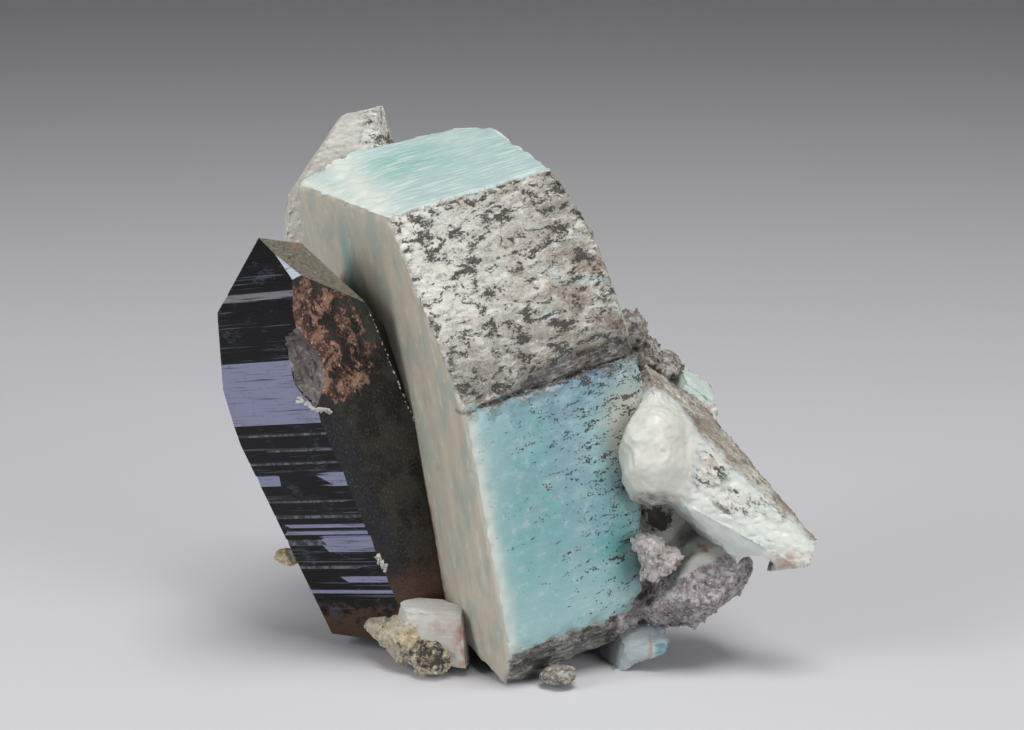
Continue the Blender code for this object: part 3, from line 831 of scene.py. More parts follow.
def face_share(own, faces, wanted, soft=0.8, ragged=0.0):
    """How far each point belongs to the wanted faces, fading where they meet the others."""
    heights = face_heights(own, faces)
    chosen = [i for i, f in enumerate(faces) if f[0] in wanted]
    others = [i for i, f in enumerate(faces) if f[0] not in wanted]
    lead = heights[:, chosen].max(1) - heights[:, others].max(1)
    return np.clip(0.5 + 0.5 * (lead / soft + ragged), 0, 1)


def face_only(nearest, faces, wanted):
    """1 on the wanted faces and 0 elsewhere."""
    return np.isin(nearest, [i for i, f in enumerate(faces) if f[0] in wanted]).astype(float)


def ledge_depth(point):
    """How far the dark band over the main crystal's crack is cut back, in millimetres."""
    x, y, z = point
    if y < -0.5 or y > 2.5 or x < 1.0 or x > LEDGE_LENGTH:
        return 0.0
    along = x / LEDGE_LENGTH
    top = LEDGE_RISE + LEDGE_SPREAD * rise(along, 0.12, 0.52) + 0.35 * noise.noise(Vector((x * 0.6, 0, 4)))
    fade = rise(x, 1.0, 5.0)
    band = rise(z, -0.15, 0.25) * (1 - rise(z, top - 0.25, top + 0.15))
    crack = rise(z, -0.2, 0.1) * (1 - rise(z, 0.35, 0.8))
    return fade * (0.55 * band * along + 0.75 * crack)


def main_marks(own, nearest, gap):
    """Where the main crystal is green, white, cream, etched, pitted, stained and dark. The dark is painted
    shade under the ledge and in the crack, and it also darkens the broken faces underneath and the etched
    face towards its foot; the cream on the lower front's right part is painted shade beside the side
    crystal's boss.
    """
    x, y, z = own.T
    along = x / LEDGE_LENGTH
    spotted = {name: spots(own, places) for name, places in MAIN_SPOTS.items()}
    ragged = (mottle(own, 1.6) - 0.5) * 2.2
    top = face_only(nearest, MAIN_FACES, ("top", "top_left"))
    left = face_only(nearest, MAIN_FACES, ("left",))
    lower = face_only(nearest, MAIN_FACES, ("lower_front",))
    etched = face_share(own, MAIN_FACES, ("upper_front", "right_upper", "back_left"), 0.7, ragged)
    broken = face_share(own, MAIN_FACES, ("bottom_front", "back_lower", "bottom"), 0.8, ragged)
    waxy = ("left", "right_middle", "right_lower", "back_right", "back")
    cream = face_share(own, MAIN_FACES, waxy, 0.7, ragged * 0.3 + 0.3) * (1 - etched)

    # The dark band over the crack, painted shade under the ledge's overhang, grows taller to the right; the
    # dark crack is painted shade too
    tall = LEDGE_RISE + LEDGE_SPREAD * np.clip((along - 0.12) / 0.40, 0, 1) + (mottle(own, 2.0, 7.0) - 0.5)
    band = np.clip((tall - z) / 0.5, 0, 1) * np.clip((z + 0.35) / 0.3, 0, 1) * (y < 3)
    crack_middle = 0.12 - (mottle(own, 1.2, 5.0) - 0.5) * 0.5
    crack = np.clip(1.3 - np.abs(z - crack_middle) / 0.28, 0, 1) * (y < 2.2)
    # Darker towards the foot of the etched face, above the ledge
    dim = etched * (y < 4) * np.clip(0.90 - z / 12.0, 0, 1) * 0.58

    # White along the lower front's left edge, on the top, and on the upper left of the etched face
    white = np.max([
        lower * np.clip(1.2 - x / 2.6 + 0.35 * ragged, 0, 1) * 0.6,
        top * (0.30 + 0.45 * np.clip(1 - x / 4, 0, 1)),
        top * np.clip(1 - gap / 1.6, 0, 1) * 0.7,
        left * np.clip(1 - y / 2.0, 0, 1) * 0.5,
        etched * np.clip(1.0 - 1.3 * along, 0, 1) * np.clip(z / 8.0 - 0.6, 0, 1)], axis=0)
    return {
        "green": np.maximum(top * spotted["top"], lower * spotted["green"]),
        "blue": lower * spotted["blue"],
        "vein": left * spotted["vein"],
        "perthite": np.clip(0.7 * top + 0.04 * lower, 0, 1),
        "white": white,
        # The cream spot on the lower front is painted shade beside the side crystal's boss
        "cream": np.maximum(cream, lower * spotted["cream"]),
        "brown": etched * np.clip(0.15 + 0.55 * along + 0.35 * (1 - z / 22.0), 0, 1),
        "etched": np.maximum(etched, broken),
        "dashes": lower * np.clip(0.32 + x / 22.0 + z / 60.0, 0, 1.0),
        "specks": np.clip(etched + broken * 0.8, 0, 1),
        "stain": left * spotted["stain"],
        # Painted shade in the ledge's band and crack, with darker broken faces underneath and a darker foot
        # of the etched face
        "dark_stain_and_shade": np.max([band * 0.85, crack, broken * 0.85, dim], axis=0),
    }


class SPECIMEN_OT_main_crystal(bpy.types.Operator):
    """Model the main blue-green microcline crystal"""
    bl_idname = "specimen.main_crystal"
    bl_label = "Main microcline crystal"

    def execute(self, context):
        settings = context.scene.microcline
        base = stand(MAIN_PLACE, MAIN_TILT)
        piece = new_object("blue_green_microcline", crystal_block(MAIN_FACES), base)
        carve(piece, floor_block())
        refine(piece, settings.mesh_size)
        own, nearest, gap = wear_crystal(piece, base, MAIN_FACES, settings)
        inward = base.to_3x3() @ Vector((0, 1, 0))
        for vert, spot in zip(piece.data.vertices, own):
            vert.co += inward * ledge_depth(spot)
        mark_all(piece.data, FELDSPAR_MARKS, main_marks(own, nearest, gap))
        shade(piece)
        material = feldspar("amazonite_with_etched_faces", MAIN_PLACE, MAIN_TILT, settings.green,
                            settings.pale, settings.cream, "#B3AFA5")
        hand_in(piece, "main_microcline_crystal", material)
        return {"FINISHED"}


def floor_block():
    """The block under the floor, which wears the lowest points flat."""
    bm = bmesh.new()
    bmesh.ops.create_cube(bm, size=0.4)
    bmesh.ops.translate(bm, vec=(0, 0, -0.2), verts=bm.verts)
    return new_object("floor_block", bm, Matrix())


def main_block():
    """The main crystal's plain shape, to cut a neighbour with."""
    return new_object("main_block", crystal_block(MAIN_FACES), stand(MAIN_PLACE, MAIN_TILT))


def faces_on(bm, normal, distance):
    """The faces that lie on a plane of the crystal."""
    return [f for f in bm.faces if f.normal.dot(normal) > 0.9995
            and abs(f.calc_center_median().dot(normal) - distance) < 0.01]


def cut_steps(bm, normal, distance, steps):
    """Cut growth steps across a flat face: each leans back and then comes forward again."""
    scored = faces_on(bm, normal, distance)
    levels = sorted({level for low, high, *_ in steps for level in (low, high, high + STEP_BACK)})
    sides = sorted({side for step in steps for side in step[2:4]})
    for axis, place in [((0, 0, 1), level) for level in levels] + [((1, 0, 0), side) for side in sides]:
        geometry = list({v for f in scored for v in f.verts}) + list({e for f in scored for e in f.edges})
        cut = bmesh.ops.bisect_plane(bm, geom=geometry + scored, plane_co=Vector(axis) * place, plane_no=axis)
        scored = [item for item in cut["geom"] if isinstance(item, bmesh.types.BMFace)]
    for vert in {v for f in scored for v in f.verts}:
        deep = 0.0
        for low, high, left, right, lean in steps:
            if left - NEAR <= vert.co.x <= right + NEAR and vert.co.z > low:
                share = (vert.co.z - low) / (high - low)
                if vert.co.z > high + NEAR:
                    share = 1 - (vert.co.z - high) / STEP_BACK
                deep = max(deep, (high - low) * tan(radians(lean)) * share)
        vert.co -= normal * deep


def quartz_look(name, lean, height, broken):
    """Which of its materials a face of the quartz takes, from its name, its lean back and its height."""
    if broken:
        return FRACTURED
    if name == "point_front" and lean > POINT_LEAN:
        return SCRATCHED
    # Steps that lean back further take a painted highlight
    if name == "front_left" and lean > SHEEN_LEAN[1]:
        return STEP_HIGHLIGHT
    # Growth bands that lean back a little take a painted lavender sheen, a painted reflection
    silky = SHEEN_LEAN[0] < lean < SHEEN_LEAN[1] and height < BAND_TOP
    if silky and name in ("front_left", "band", "point_front"):
        return PAINTED_SHEEN
    return FACE_LOOKS.get(name, GLOSSY)


class SPECIMEN_OT_smoky_quartz(bpy.types.Operator):
    """Model the smoky quartz crystal with its growth steps and broken notch"""
    bl_idname = "specimen.smoky_quartz"
    bl_label = "Smoky quartz crystal"

    def execute(self, context):
        settings = context.scene.quartz
        base = stand(QUARTZ_PLACE, QUARTZ_TILT)
        block = crystal_block(QUARTZ_FACES)
        scaled = [(*step[:4], step[4] * settings.lean_scale) for step in GROWTH_STEPS]
        stepped = (((0, PRISM), scaled), (BAND_FACE, BAND_STEPS), (POINT_FACE, POINT_STEPS))
        for (elevation, distance), steps in stepped:
            cut_steps(block, looks_along(0, elevation), distance, steps)
        bmesh.ops.triangulate(block, faces=block.faces)
        piece = new_object("smoky_quartz", block, base)
        notch = bmesh.new()
        add_lump(notch, CHIP_PLACE, CHIP_SIZE, 0, 0, 4)
        carve(piece, new_object("notch", notch, base))
        carve(piece, main_block())
        # From glossy to scratched, in the order of their numbers
        looks = (smoky_quartz(settings), frosted_quartz(), iron_stained_quartz(), broken_quartz(),
                 # Painted reflections and highlight: the lavender sheen of the bands, and the steps that lean
                 # back further
                 lined_quartz("smoky_quartz_painted_sheen_bands", "#3B3E50", "#797C98"), painted_step_highlight(),
                 # The point's facet: a painted reflection
                 lined_quartz("smoky_quartz_facet_painted_reflection", "#5E626D", "#8B909C"),
                 lined_quartz("smoky_quartz_scratched_band", "#1E1F23", "#6D6E72"))
        piece.data.materials.clear()
        for material in looks:
            piece.data.materials.append(material)
        own = in_frame_of(base, np.array([list(p.center) for p in piece.data.polygons]))
        nearest, depth, _ = nearest_faces(own, QUARTZ_FACES)
        broken = (depth > CHIP_DEPTH) & (far_from(own, CHIP_PLACE, CHIP_SIZE) < CHIP_REACH)
        turn_back = base.to_3x3().inverted()
        for i, polygon in enumerate(piece.data.polygons):
            lean = (turn_back @ polygon.normal).normalized().z
            name = QUARTZ_FACES[nearest[i]][0]
            polygon.material_index = quartz_look(name, lean, own[i][2], broken[i])
        piece.data.shade_flat()
        hand_in(piece, "smoky_quartz_crystal", None)
        quartz_grains(base)
        return {"FINISHED"}


def squeeze(bm, verts, place, turn, sizes):
    """Size, turn and place a small crystal."""
    shape = Matrix.Translation(place) @ turn @ Matrix.Diagonal((*sizes, 1.0))
    bmesh.ops.transform(bm, matrix=shape, verts=verts)


def thrown(dice, low, high):
    """A random turn about each axis."""
    return Euler([dice.uniform(low, high) for _ in range(3)]).to_matrix().to_4x4()


def quartz_grains(base):
    """Small white crystals on the notch's lower rim, along the right edge and on the front edge."""
    dice = random.Random(21)
    bm = bmesh.new()
    for points, count, size in QUARTZ_GRAINS:
        for number in range(count):
            along = (number + dice.uniform(0.0, 0.9)) / count * (len(points) - 1)
            leg = min(int(along), len(points) - 2)
            start = Vector(points[leg])
            end = Vector(points[leg + 1])
            place = start.lerp(end, along - leg)
            place += Vector([dice.uniform(-0.3, 0.3) * size for _ in range(3)])
            made = bmesh.ops.create_cone(bm, cap_ends=True, segments=5, radius1=0.5, radius2=0.3, depth=0.8)
            length = size * dice.uniform(0.5, 1.2)
            turn = (end - start).to_track_quat("Z", "Y").to_matrix().to_4x4() @ thrown(dice, -0.5, 0.5)
            squeeze(bm, made["verts"], place, turn, (length * 0.9, length * 0.7, length * 1.5))
    piece = new_object("quartz_white_grains", bm, base)
    mark_all(piece.data, LUMP_MARKS, {})
    piece.data.shade_flat()
    piece.data.materials.append(sugary("albite_grains_white", "#8A8681", "#BDB9B2", "#E2DFD8"))
    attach(piece, "root")


def quartz_material(name):
    """An empty node material, its tree and shader, and the position in the quartz's own millimetres."""
    material, tree, shader = new_material(name)
    return material, tree, shader, crystal_place(tree, QUARTZ_PLACE, QUARTZ_TILT)


def smoky_quartz(settings):
    """Smoky quartz, natural crystal faces: near-black glass, finely lined across, scuffed in patches."""
    material, tree, shader, own = quartz_material("smoky_quartz_glossy")
    # Growth lines 0.3 mm apart across the axis, and scuffs 4 mm across made of fine scratches
    lines = clouds(tree, own, (18.0, 18.0, 0.32), 3.0, 0.6)
    scratches = clouds(tree, own, (0.9, 0.9, 0.22), 4.0, 0.8)
    scuffs = heap(tree, scratches, (clouds(tree, own, (4.0, 4.0, 3.0), 3.0, 0.6), 1.0))
    height = add(tree, "ShaderNodeSeparateXYZ", {"Vector": own}, "Z")
    low = heap(tree, height, (clouds(tree, own, (2.0, 2.0, 1.2), 4.0, 0.7), 14.0))
    colour = coats(
        tree, settings.body,
        ("#4A3829", low, -12.5, -15.5, 0.9),
        ("#3A3E48", scuffs, 1.08, 1.28, 0.8),
        # The growth lines are real; their lavender grey is a painted reflection
        ("#565A66", lines, 0.61, 0.66, 0.7))
    rough = add(tree, "ShaderNodeMapRange", {
        "Value": scuffs, "From Min": 1.0, "From Max": 1.3,
        "To Min": settings.gloss, "To Max": 0.40}, "Result")
    finish_shader(tree, shader, colour, lines, 0.05, rough, QUARTZ_IOR, 0.15)
    return material


def lined_quartz(name, dark, light):
    """Smoky quartz, finely stepped growth bands: dark, with light growth lines. On the bands and on the
    point's facet the light colour is a painted reflection, a lavender grey sheen.
    """
    material, tree, shader, own = quartz_material(name)
    # Dark growth lines 0.3 mm apart, which fade in and out along the band
    lines = clouds(tree, own, (9.0, 9.0, 0.28), 3.0, 0.6)
    colour = coats(
        tree, dark,
        (light, lines, 0.30, 0.48),
        (dark, clouds(tree, own, (1.2, 1.2, 0.5), 4.0, 0.7), 0.56, 0.70, 0.5))
    finish_shader(tree, shader, colour, lines, 0.03, 0.30, QUARTZ_IOR)
    return material


def painted_step_highlight():
    """Smoky quartz, growth steps that lean back further: pale blotches over near-black, a painted highlight
    where the steps catch the light.
    """
    material, tree, shader, own = quartz_material("smoky_quartz_step_painted_highlight")
    highlight_blotches = clouds(tree, own, (0.9, 0.9, 0.9), 4.0, 0.7)
    colour = layer(tree, "#101115", "#5C5F6C", highlight_blotches, 0.42, 0.64)
    finish_shader(tree, shader, colour, highlight_blotches, 0.05, 0.35, QUARTZ_IOR)
    return material


def slanted(tree, own):
    """The quartz's own place, turned so that a pattern runs slantwise across its faces."""
    return add(tree, "ShaderNodeMapping", {"Vector": own, "Rotation": (0.0, radians(35), 0.0)}, "Vector")


def frosted_quartz():
    """Smoky quartz, frosted by a later growth: olive brown, silky, with short golden lines."""
    material, tree, shader, own = quartz_material("smoky_quartz_frosted")
    lines = clouds(tree, slanted(tree, own), (2.6, 0.4, 0.4), 5.0, 0.75)
    colour = coats(
        tree, "#37342D",
        ("#6A675A", lines, 0.36, 0.52),
        ("#B5A27E", lines, 0.55, 0.70),
        ("#8A6242", clouds(tree, own, (2.4, 2.4, 2.4), 4.0, 0.7), 0.54, 0.68, 0.7))
    finish_shader(tree, shader, colour, lines, 0.15, 0.42, QUARTZ_IOR)
    return material


def iron_stained_quartz():
    """Smoky quartz with iron oxide: olive black with golden flecks, and a ragged rusty patch."""
    material, tree, shader, own = quartz_material("smoky_quartz_iron_stained")
    across = add(tree, "ShaderNodeVectorMath", {0: own, 1: (0.5, 0.866, 0.0)}, "Value",
                 operation="DOT_PRODUCT")
    height = add(tree, "ShaderNodeSeparateXYZ", {"Vector": own}, "Z")
    # The part near the front edge is blue black, lighter blue-lavender higher up as a painted reflection, and
    # the low part is brown
    edge = layer(tree, "#1F2129", "#565B86", height, 18.0, 21.0)
    low = heap(tree, height, (clouds(tree, own, (1.6, 1.6, 1.6), 4.0, 0.7), 14.0))
    flecks = clouds(tree, slanted(tree, own), (1.8, 0.24, 0.24), 4.0, 0.8)

    # The rusty patch reaches 6 by 8 mm from its middle, with dark glassy gaps 1.5 mm across
    centred = add(tree, "ShaderNodeMapping", {
        "Vector": own, "Location": (8.9, -5.8, 18.6), "Scale": (6.8, 6.8, 9.6)}, "Vector",
        vector_type="TEXTURE")
    distance = add(tree, "ShaderNodeVectorMath", {0: centred}, "Value", operation="LENGTH")
    ragged = heap(tree, clouds(tree, own, (3.0, 3.0, 3.6), 5.0, 0.8), (distance, -1.0))
    inside = add(tree, "ShaderNodeMapRange", {
        "Value": ragged, "From Min": -0.42, "From Max": -0.30}, "Result")
    gaps = heap(tree, clouds(tree, own, (1.9, 1.9, 2.8), 5.0, 0.75, 0.5), (across, -0.02))
    rusty = add(tree, "ShaderNodeMapRange", {"Value": gaps, "From Min": 0.45, "From Max": 0.51}, "Result")
    rusty = add(tree, "ShaderNodeMath", {0: rusty, 1: inside}, 0, operation="MULTIPLY")
    tone = clouds(tree, own, (0.4, 0.4, 0.4), 4.0, 0.8)
    rust = coats(
        tree, "#4A362D",
        ("#856555", clouds(tree, own, (1.6, 1.6, 1.6)), 0.38, 0.60),
        ("#D0B49C", tone, 0.56, 0.70),
        ("#2C2320", tone, 0.44, 0.34))
    colour = coats(
        tree, "#11110E",
        ("#2C2C27", clouds(tree, own, (4.0, 4.0, 6.0)), 0.42, 0.62),
        (edge, across, -1.6, -4.0, 0.8),
        ("#53392A", low, -6.0, -13.0, 0.75),
        ("#5E543C", flecks, 0.52, 0.68, 0.75),
        (rust, rusty, 0.0, 1.0))
    rough = add(tree, "ShaderNodeMapRange", {"Value": rusty, "To Min": 0.28, "To Max": 0.75}, "Result")
    finish_shader(tree, shader, colour, rusty, 0.15, rough, QUARTZ_IOR, 0.18)
    return material


def broken_quartz():
    """Smoky quartz where it broke: shell-like grey-brown fracture with fine glassy relief."""
    material, tree, shader, own = quartz_material("smoky_quartz_broken")
    ripples = clouds(tree, own, (0.9, 0.9, 1.3), 5.0, 0.7, 0.6)
    colour = coats(
        tree, "#2E2A29",
        ("#6A625E", ripples, 0.36, 0.50),
        ("#A3A0A2", ripples, 0.54, 0.68))
    finish_shader(tree, shader, colour, ripples, 0.35, 0.30, QUARTZ_IOR)
    return material


def melt(piece, base):
    """Smooth the boss into the crystal that it grew from."""
    own = in_frame_of(base, points_of(piece.data))
    share = near_to(own, BOSS_PLACE, BOSS_SIZE, BOSS_REACH, 0.5)
    bm = bmesh.new()
    bm.from_mesh(piece.data)
    verts = [vert for vert, near in zip(bm.verts, share) if near > 0]
    for _ in range(MELTING):
        bmesh.ops.smooth_vert(bm, verts=verts, factor=0.5, use_axis_x=True, use_axis_y=True, use_axis_z=True)
    bm.normal_update()
    for vert, spot, near in zip(bm.verts, own, share):
        swell = noise.noise(Vector(spot) / 3.4) + 0.25 * noise.noise(Vector(spot) / 0.9)
        vert.co += vert.normal * BOSS_SWELL * MM * near * swell
    bm.to_mesh(piece.data)
    bm.free()


def side_marks(own, nearest, boss, lip):
    """Where the side crystal is green, white, cream, etched, stained and dark; the dark is painted shade in
    the hollow under its boss and at the boss's foot.
    """
    ragged = (mottle(own, 1.6, 3.0) - 0.5) * 2.2
    spotted = {name: spots(own, places) for name, places in SIDE_SPOTS.items()}
    patches = spotted["patches"]
    foot = spotted["foot"]
    clear = 1 - np.maximum(lip, boss)
    front = face_share(own, SIDE_FACES, ("front",), 1.0, ragged) * (1 - boss)
    slope = face_share(own, SIDE_FACES, ("slope", "back", "back_right", "shoulder"), 1.0, ragged) * (1 - boss)
    under = face_only(nearest, SIDE_FACES, ("under_front", "under_left", "under"))
    return {
        "green": front * 0.30 * (own[:, 0] > 2) + 0.10 * under,
        "white": np.maximum(0.55 * boss, 0.5 * front),
        "perthite": 0.2 + 0.5 * slope,
        "etched": np.maximum(np.clip(0.75 * slope + 0.7 * front * patches, 0, 1) * clear, foot),
        "cream": np.maximum(0.6 * slope * clear, 0.45 * boss),
        "brown": slope,
        "specks": 1.3 * patches * front + 0.5 * slope + 0.5 * foot,
        "stain": np.maximum(0.35 * lip, spotted["stain"]),
        # Painted shade in the hollow under the boss and at its foot
        "dark_stain_and_shade": np.maximum(spotted["cavity"], 0.50 * foot),
    }


def side_crystal(settings):
    """The pale crystal on the right, with its swollen white boss and its hollow lip."""
    base = stand(SIDE_PLACE)
    piece = new_object("side_microcline", crystal_block(SIDE_FACES), base)
    boss = bmesh.new()
    add_ellipsoid(boss, BOSS_PLACE, BOSS_SIZE)
    carve(piece, new_object("boss", boss, base), "UNION")
    for title, place, half_sizes in (("notch", NOTCH_PLACE, NOTCH_SIZE), ("lip", LIP_PLACE, LIP_SIZE)):
        hollow = bmesh.new()
        add_lump(hollow, place, half_sizes, 0, 0, 3)
        carve(piece, new_object(title, hollow, base))
    refine(piece, settings.mesh_size * FINER)
    melt(piece, base)
    own = in_frame_of(base, points_of(piece.data))
    boss_share = near_to(own, BOSS_PLACE, BOSS_SIZE, 1.45, 0.35)
    lip_share = near_to(own, LIP_PLACE, LIP_SIZE, 1.15, 0.15)
    own, nearest, _ = wear_crystal(piece, base, SIDE_FACES, settings, np.maximum(0.65 * boss_share, 0.30))
    mark_all(piece.data, FELDSPAR_MARKS, side_marks(own, nearest, boss_share, lip_share))
    shade(piece)
    material = feldspar("pale_microcline_side", SIDE_PLACE, (0, 38, 0), *SIDE_COLOURS)
    hand_in(piece, "side_microcline_crystal", material)


def small_crystal(settings, title, node, slot, place, faces, marks, calm, colours):
    """A small blocky crystal. Calm is how far its relief is left out."""
    base = stand(place)
    piece = new_object(title, crystal_block(faces), base)
    refine(piece, settings.mesh_size * FINER)
    own, nearest, _ = wear_crystal(piece, base, faces, settings, calm)
    mark_all(piece.data, FELDSPAR_MARKS, marks(own, nearest))
    shade(piece)
    hand_in(piece, node, feldspar(f"{title}_feldspar", place, (0, 0, 0), *colours))


def spur_marks(own, nearest):
    """Grey-pink spur with black spots on its right part."""
    right = np.clip((own[:, 0] - 1.5) / 2.0, 0, 1)
    return {"etched": 0.30 + 0.35 * right, "white": 0.45, "green": 0.35 * right, "perthite": 0.2,
            "specks": right, "stain": 0.10 * (1 - right)}


def rear_marks(own, nearest):
    """Pale green rear crystal with black specks low on its right."""
    low = np.clip((0.5 - own[:, 2]) / 2.0, 0, 1)
    return {"green": 0.8, "white": 0.35, "etched": 0.25 + 0.6 * low, "specks": low, "perthite": 0.2}


def foot_marks(own, nearest):
    """Foot crystal: white left end, teal flat right part, a rusty line between them."""
    top = face_only(nearest, FOOT_FACES, ("top",))
    right = np.clip((own[:, 0] - 0.6) / 0.5, 0, 1)
    return {"green": right * (1 - top), "white": np.maximum(top * 0.2, 0.35 * (1 - right)),
            "perthite": 0.2, "stain": spots(own, [((0.2, -4.6, 0.0), (0.35, 3, 4.5), 0.5)]),
            "blue": 0.15 * (1 - right), "etched": face_only(nearest, FOOT_FACES, ("right", "back")) * 0.7}


def blade_marks(own, nearest):
    """Lavender-white blade with an orange stain down its right edge."""
    right = spots(own, [((4.4, -2.2, -0.6), (3.0, 4, 6.0), 0.62), ((0.6, -2.2, 1.6), (2.4, 4, 1.6), 0.34)])
    return {"white": 0.5, "stain": right, "perthite": 0.3, "etched": 0.15}


# Small crystals: the object, its CAD node and slot, place and faces, marks, how far its relief is left
# out, and its green, pale, cream and etched colours.
SMALL_CRYSTALS = [
    ("spur_microcline", "spur_microcline_crystal", "pale_microcline", SPUR_PLACE, SPUR_FACES, spur_marks, 0.5,
     ("#8DA9A3", "#A8A5A0", "#AFA599", "#A29A95")),
    ("rear_microcline", "rear_microcline_crystal", "pale_microcline", REAR_PLACE, REAR_FACES, rear_marks, 0.4,
     ("#9DBBB3", "#B9BFBB", "#B5ABA0", "#ABA8A1")),
    ("foot_microcline", "foot_microcline_crystal", "blue_green_microcline", FOOT_PLACE, FOOT_FACES,
     foot_marks, 0.0, ("#5F8B92", "#8A97A1", "#A5A1A5", "#8F8A8A")),
    ("pale_blade", "pale_feldspar_blade", "white_feldspar", BLADE_PLACE, BLADE_FACES, blade_marks, 0.0,
     ("#9B9196", "#92878A", "#9A8C7E", "#8F837E")),
]


class SPECIMEN_OT_side_crystals(bpy.types.Operator):
    """Model the side crystal, the spur, the rear and foot crystals and the pale blade"""
    bl_idname = "specimen.side_crystals"
    bl_label = "Side crystals"

    def execute(self, context):
        settings = context.scene.microcline
        side_crystal(settings)
        for row in SMALL_CRYSTALS:
            small_crystal(settings, *row)
        return {"FINISHED"}


def lump_piece(title, lumps, size, knob, seed, calm):
    """One fused lump with sugary knobs. Calm gives where it is left smooth."""
    bm = bmesh.new()
    for centre, half_sizes, yaw, roll in lumps:
        add_lump(bm, centre, [s - 0.5 * knob for s in half_sizes], yaw, roll, 5)
    piece = new_object(title, bm, STANDING)
    fuse(piece, size)
    mesh = piece.data
    own = in_frame_of(STANDING, points_of(mesh))
    normals = per_vertex(mesh, "normal")
    still = calm(own)
    for i, vert in enumerate(mesh.vertices):
        point = Vector(own[i])
        near, centres = noise.voronoi(point / (2.0 * knob) + Vector((seed, 0, 0)))
        bead = 0.6 - near[0] + 0.35 * noise.noise(centres[0] * 3.7)
        small = noise.voronoi(point / 0.75)[0][0]
        deep = (knob * 0.75 * bead - 0.22 * small) * (1 - still[i])
        vert.co += Vector(normals[i]) * MM * deep
    return piece


def stud(piece, count, size, seed, calm):
    """Stud a lump with small crystals, each a cube cut short, half sunk in the surface."""
    dice = random.Random(seed)
    mesh = piece.data
    still = calm(in_frame_of(STANDING, points_of(mesh)))
    hosts = [v for v, quiet in zip(mesh.vertices, still) if quiet < 0.5]
    bm = bmesh.new()
    for _ in range(count):
        host = dice.choice(hosts)
        made = bmesh.ops.create_cube(bm, size=1.0)
        length = size * MM * dice.uniform(0.5, 1.3)
        turn = thrown(dice, 0, 6.28)
        place = host.co + host.normal * length * 0.1
        squeeze(bm, made["verts"], place, turn, (length, length * 0.8, length * 0.55))
    studs = bpy.data.meshes.new("studs")
    bm.to_mesh(studs)
    bm.clear()
    bm.from_mesh(mesh)
    bm.from_mesh(studs)
    bm.to_mesh(mesh)
    bm.free()
    bpy.data.meshes.remove(studs)


def sugary(name, dark, middle, light):
    """Albite feldspar, fine crystals grown on each other: sugary, matt, with glints.

    Marks tint it: calm is smooth cleaved feldspar, stain and yellow are iron oxide, and the dark mark is dark
    mineral on the crust but painted shade in the hollow under the side crystal on the matrix and its knobs.
    """
    material, tree, shader = new_material(name)
    own = crystal_place(tree, (0, 0, 0), (0, 0, 0))
    # Grains 0.5 mm across
    fine = clouds(tree, own, (0.6, 0.6, 0.6), 5.0, 0.75)
    colour = coats(
        tree, dark,
        (middle, fine, 0.34, 0.50),
        (light, fine, 0.50, 0.66))
    # Each mark's tint spreads over the patches as the mark grows
    patches = clouds(tree, own, (1.3, 1.3, 1.3), 4.0, 0.75)
    for title, (tint, low) in LUMP_MARKS.items():
        strength = add(tree, "ShaderNodeAttribute", out="Fac", attribute_name=title)
        colour = layer(tree, colour, tint, heap(tree, strength, (patches, 1.0)), low, low + 0.20)
    finish_shader(tree, shader, colour, heap(tree, fine, (patches, 0.5)), 0.35, 0.60, ALBITE_IOR)
    let_light_in(shader, 0.15, (1.0, 0.9, 0.85))
    return material


def nowhere(own):
    """A lump with no smooth part."""
    return np.zeros(len(own))


def under_ledge(own):
    """Where the matrix is the side crystal's cleaved underside: over a line that falls to the left."""
    x, _, z = own.T
    line = UNDERSIDE_AT[1] + (x - UNDERSIDE_AT[0]) * UNDERSIDE_SLOPE
    return np.clip((z - line) / 0.9 + 0.5, 0, 1) * (x > UNDERSIDE_LEFT)


def finished_lump(settings, title, node, slot, lumps, finer, knob, seed, studs, look, marks):
    """Model, stud, paint and hand in one fused lump."""
    calm = under_ledge if node == "albite_matrix" else nowhere
    piece = lump_piece(title, lumps, settings.mesh_size * finer, knob, seed, calm)
    if studs is not None:
        count, size, stud_seed = studs
        stud(piece, settings.crystals if count is None else count, size, stud_seed, calm)
    own = in_frame_of(STANDING, points_of(piece.data))
    shown = {name: spots(own, places) for name, places in marks.items()}
    mark_all(piece.data, LUMP_MARKS, {"calm": calm(own), **shown})
    shade(piece, 50)
    hand_in(piece, node, sugary(*look))


class SPECIMEN_OT_matrix(bpy.types.Operator):
    """Model the albite matrix, its knobs, the rear lumps and the iron-stained crust"""
    bl_idname = "specimen.matrix"
    bl_label = "Matrix"

    def execute(self, context):
        for row in LUMP_PIECES:
            finished_lump(context.scene.matrix, *row)
        return {"FINISHED"}


def view_point():
    """Where the camera stands, in the frame's metres."""
    middle = STANDING @ Vector((0, 0, 0))
    return middle + looks_along(0, VIEW_ELEVATION) * VIEW_DISTANCE * MM


def soft_light(name, place, aim, width, height, power):
    """A soft rectangular studio light."""
    data = bpy.data.lights.new(name, "AREA")
    data.shape = "RECTANGLE"
    data.size = width
    data.size_y = height
    data.energy = power
    lamp = bpy.data.objects.new(name, data)
    lamp.location = place
    lamp.rotation_mode = "QUATERNION"
    lamp.rotation_quaternion = (Vector(place) - Vector(aim)).to_track_quat("Z", "Y")
    bpy.context.scene.collection.objects.link(lamp)


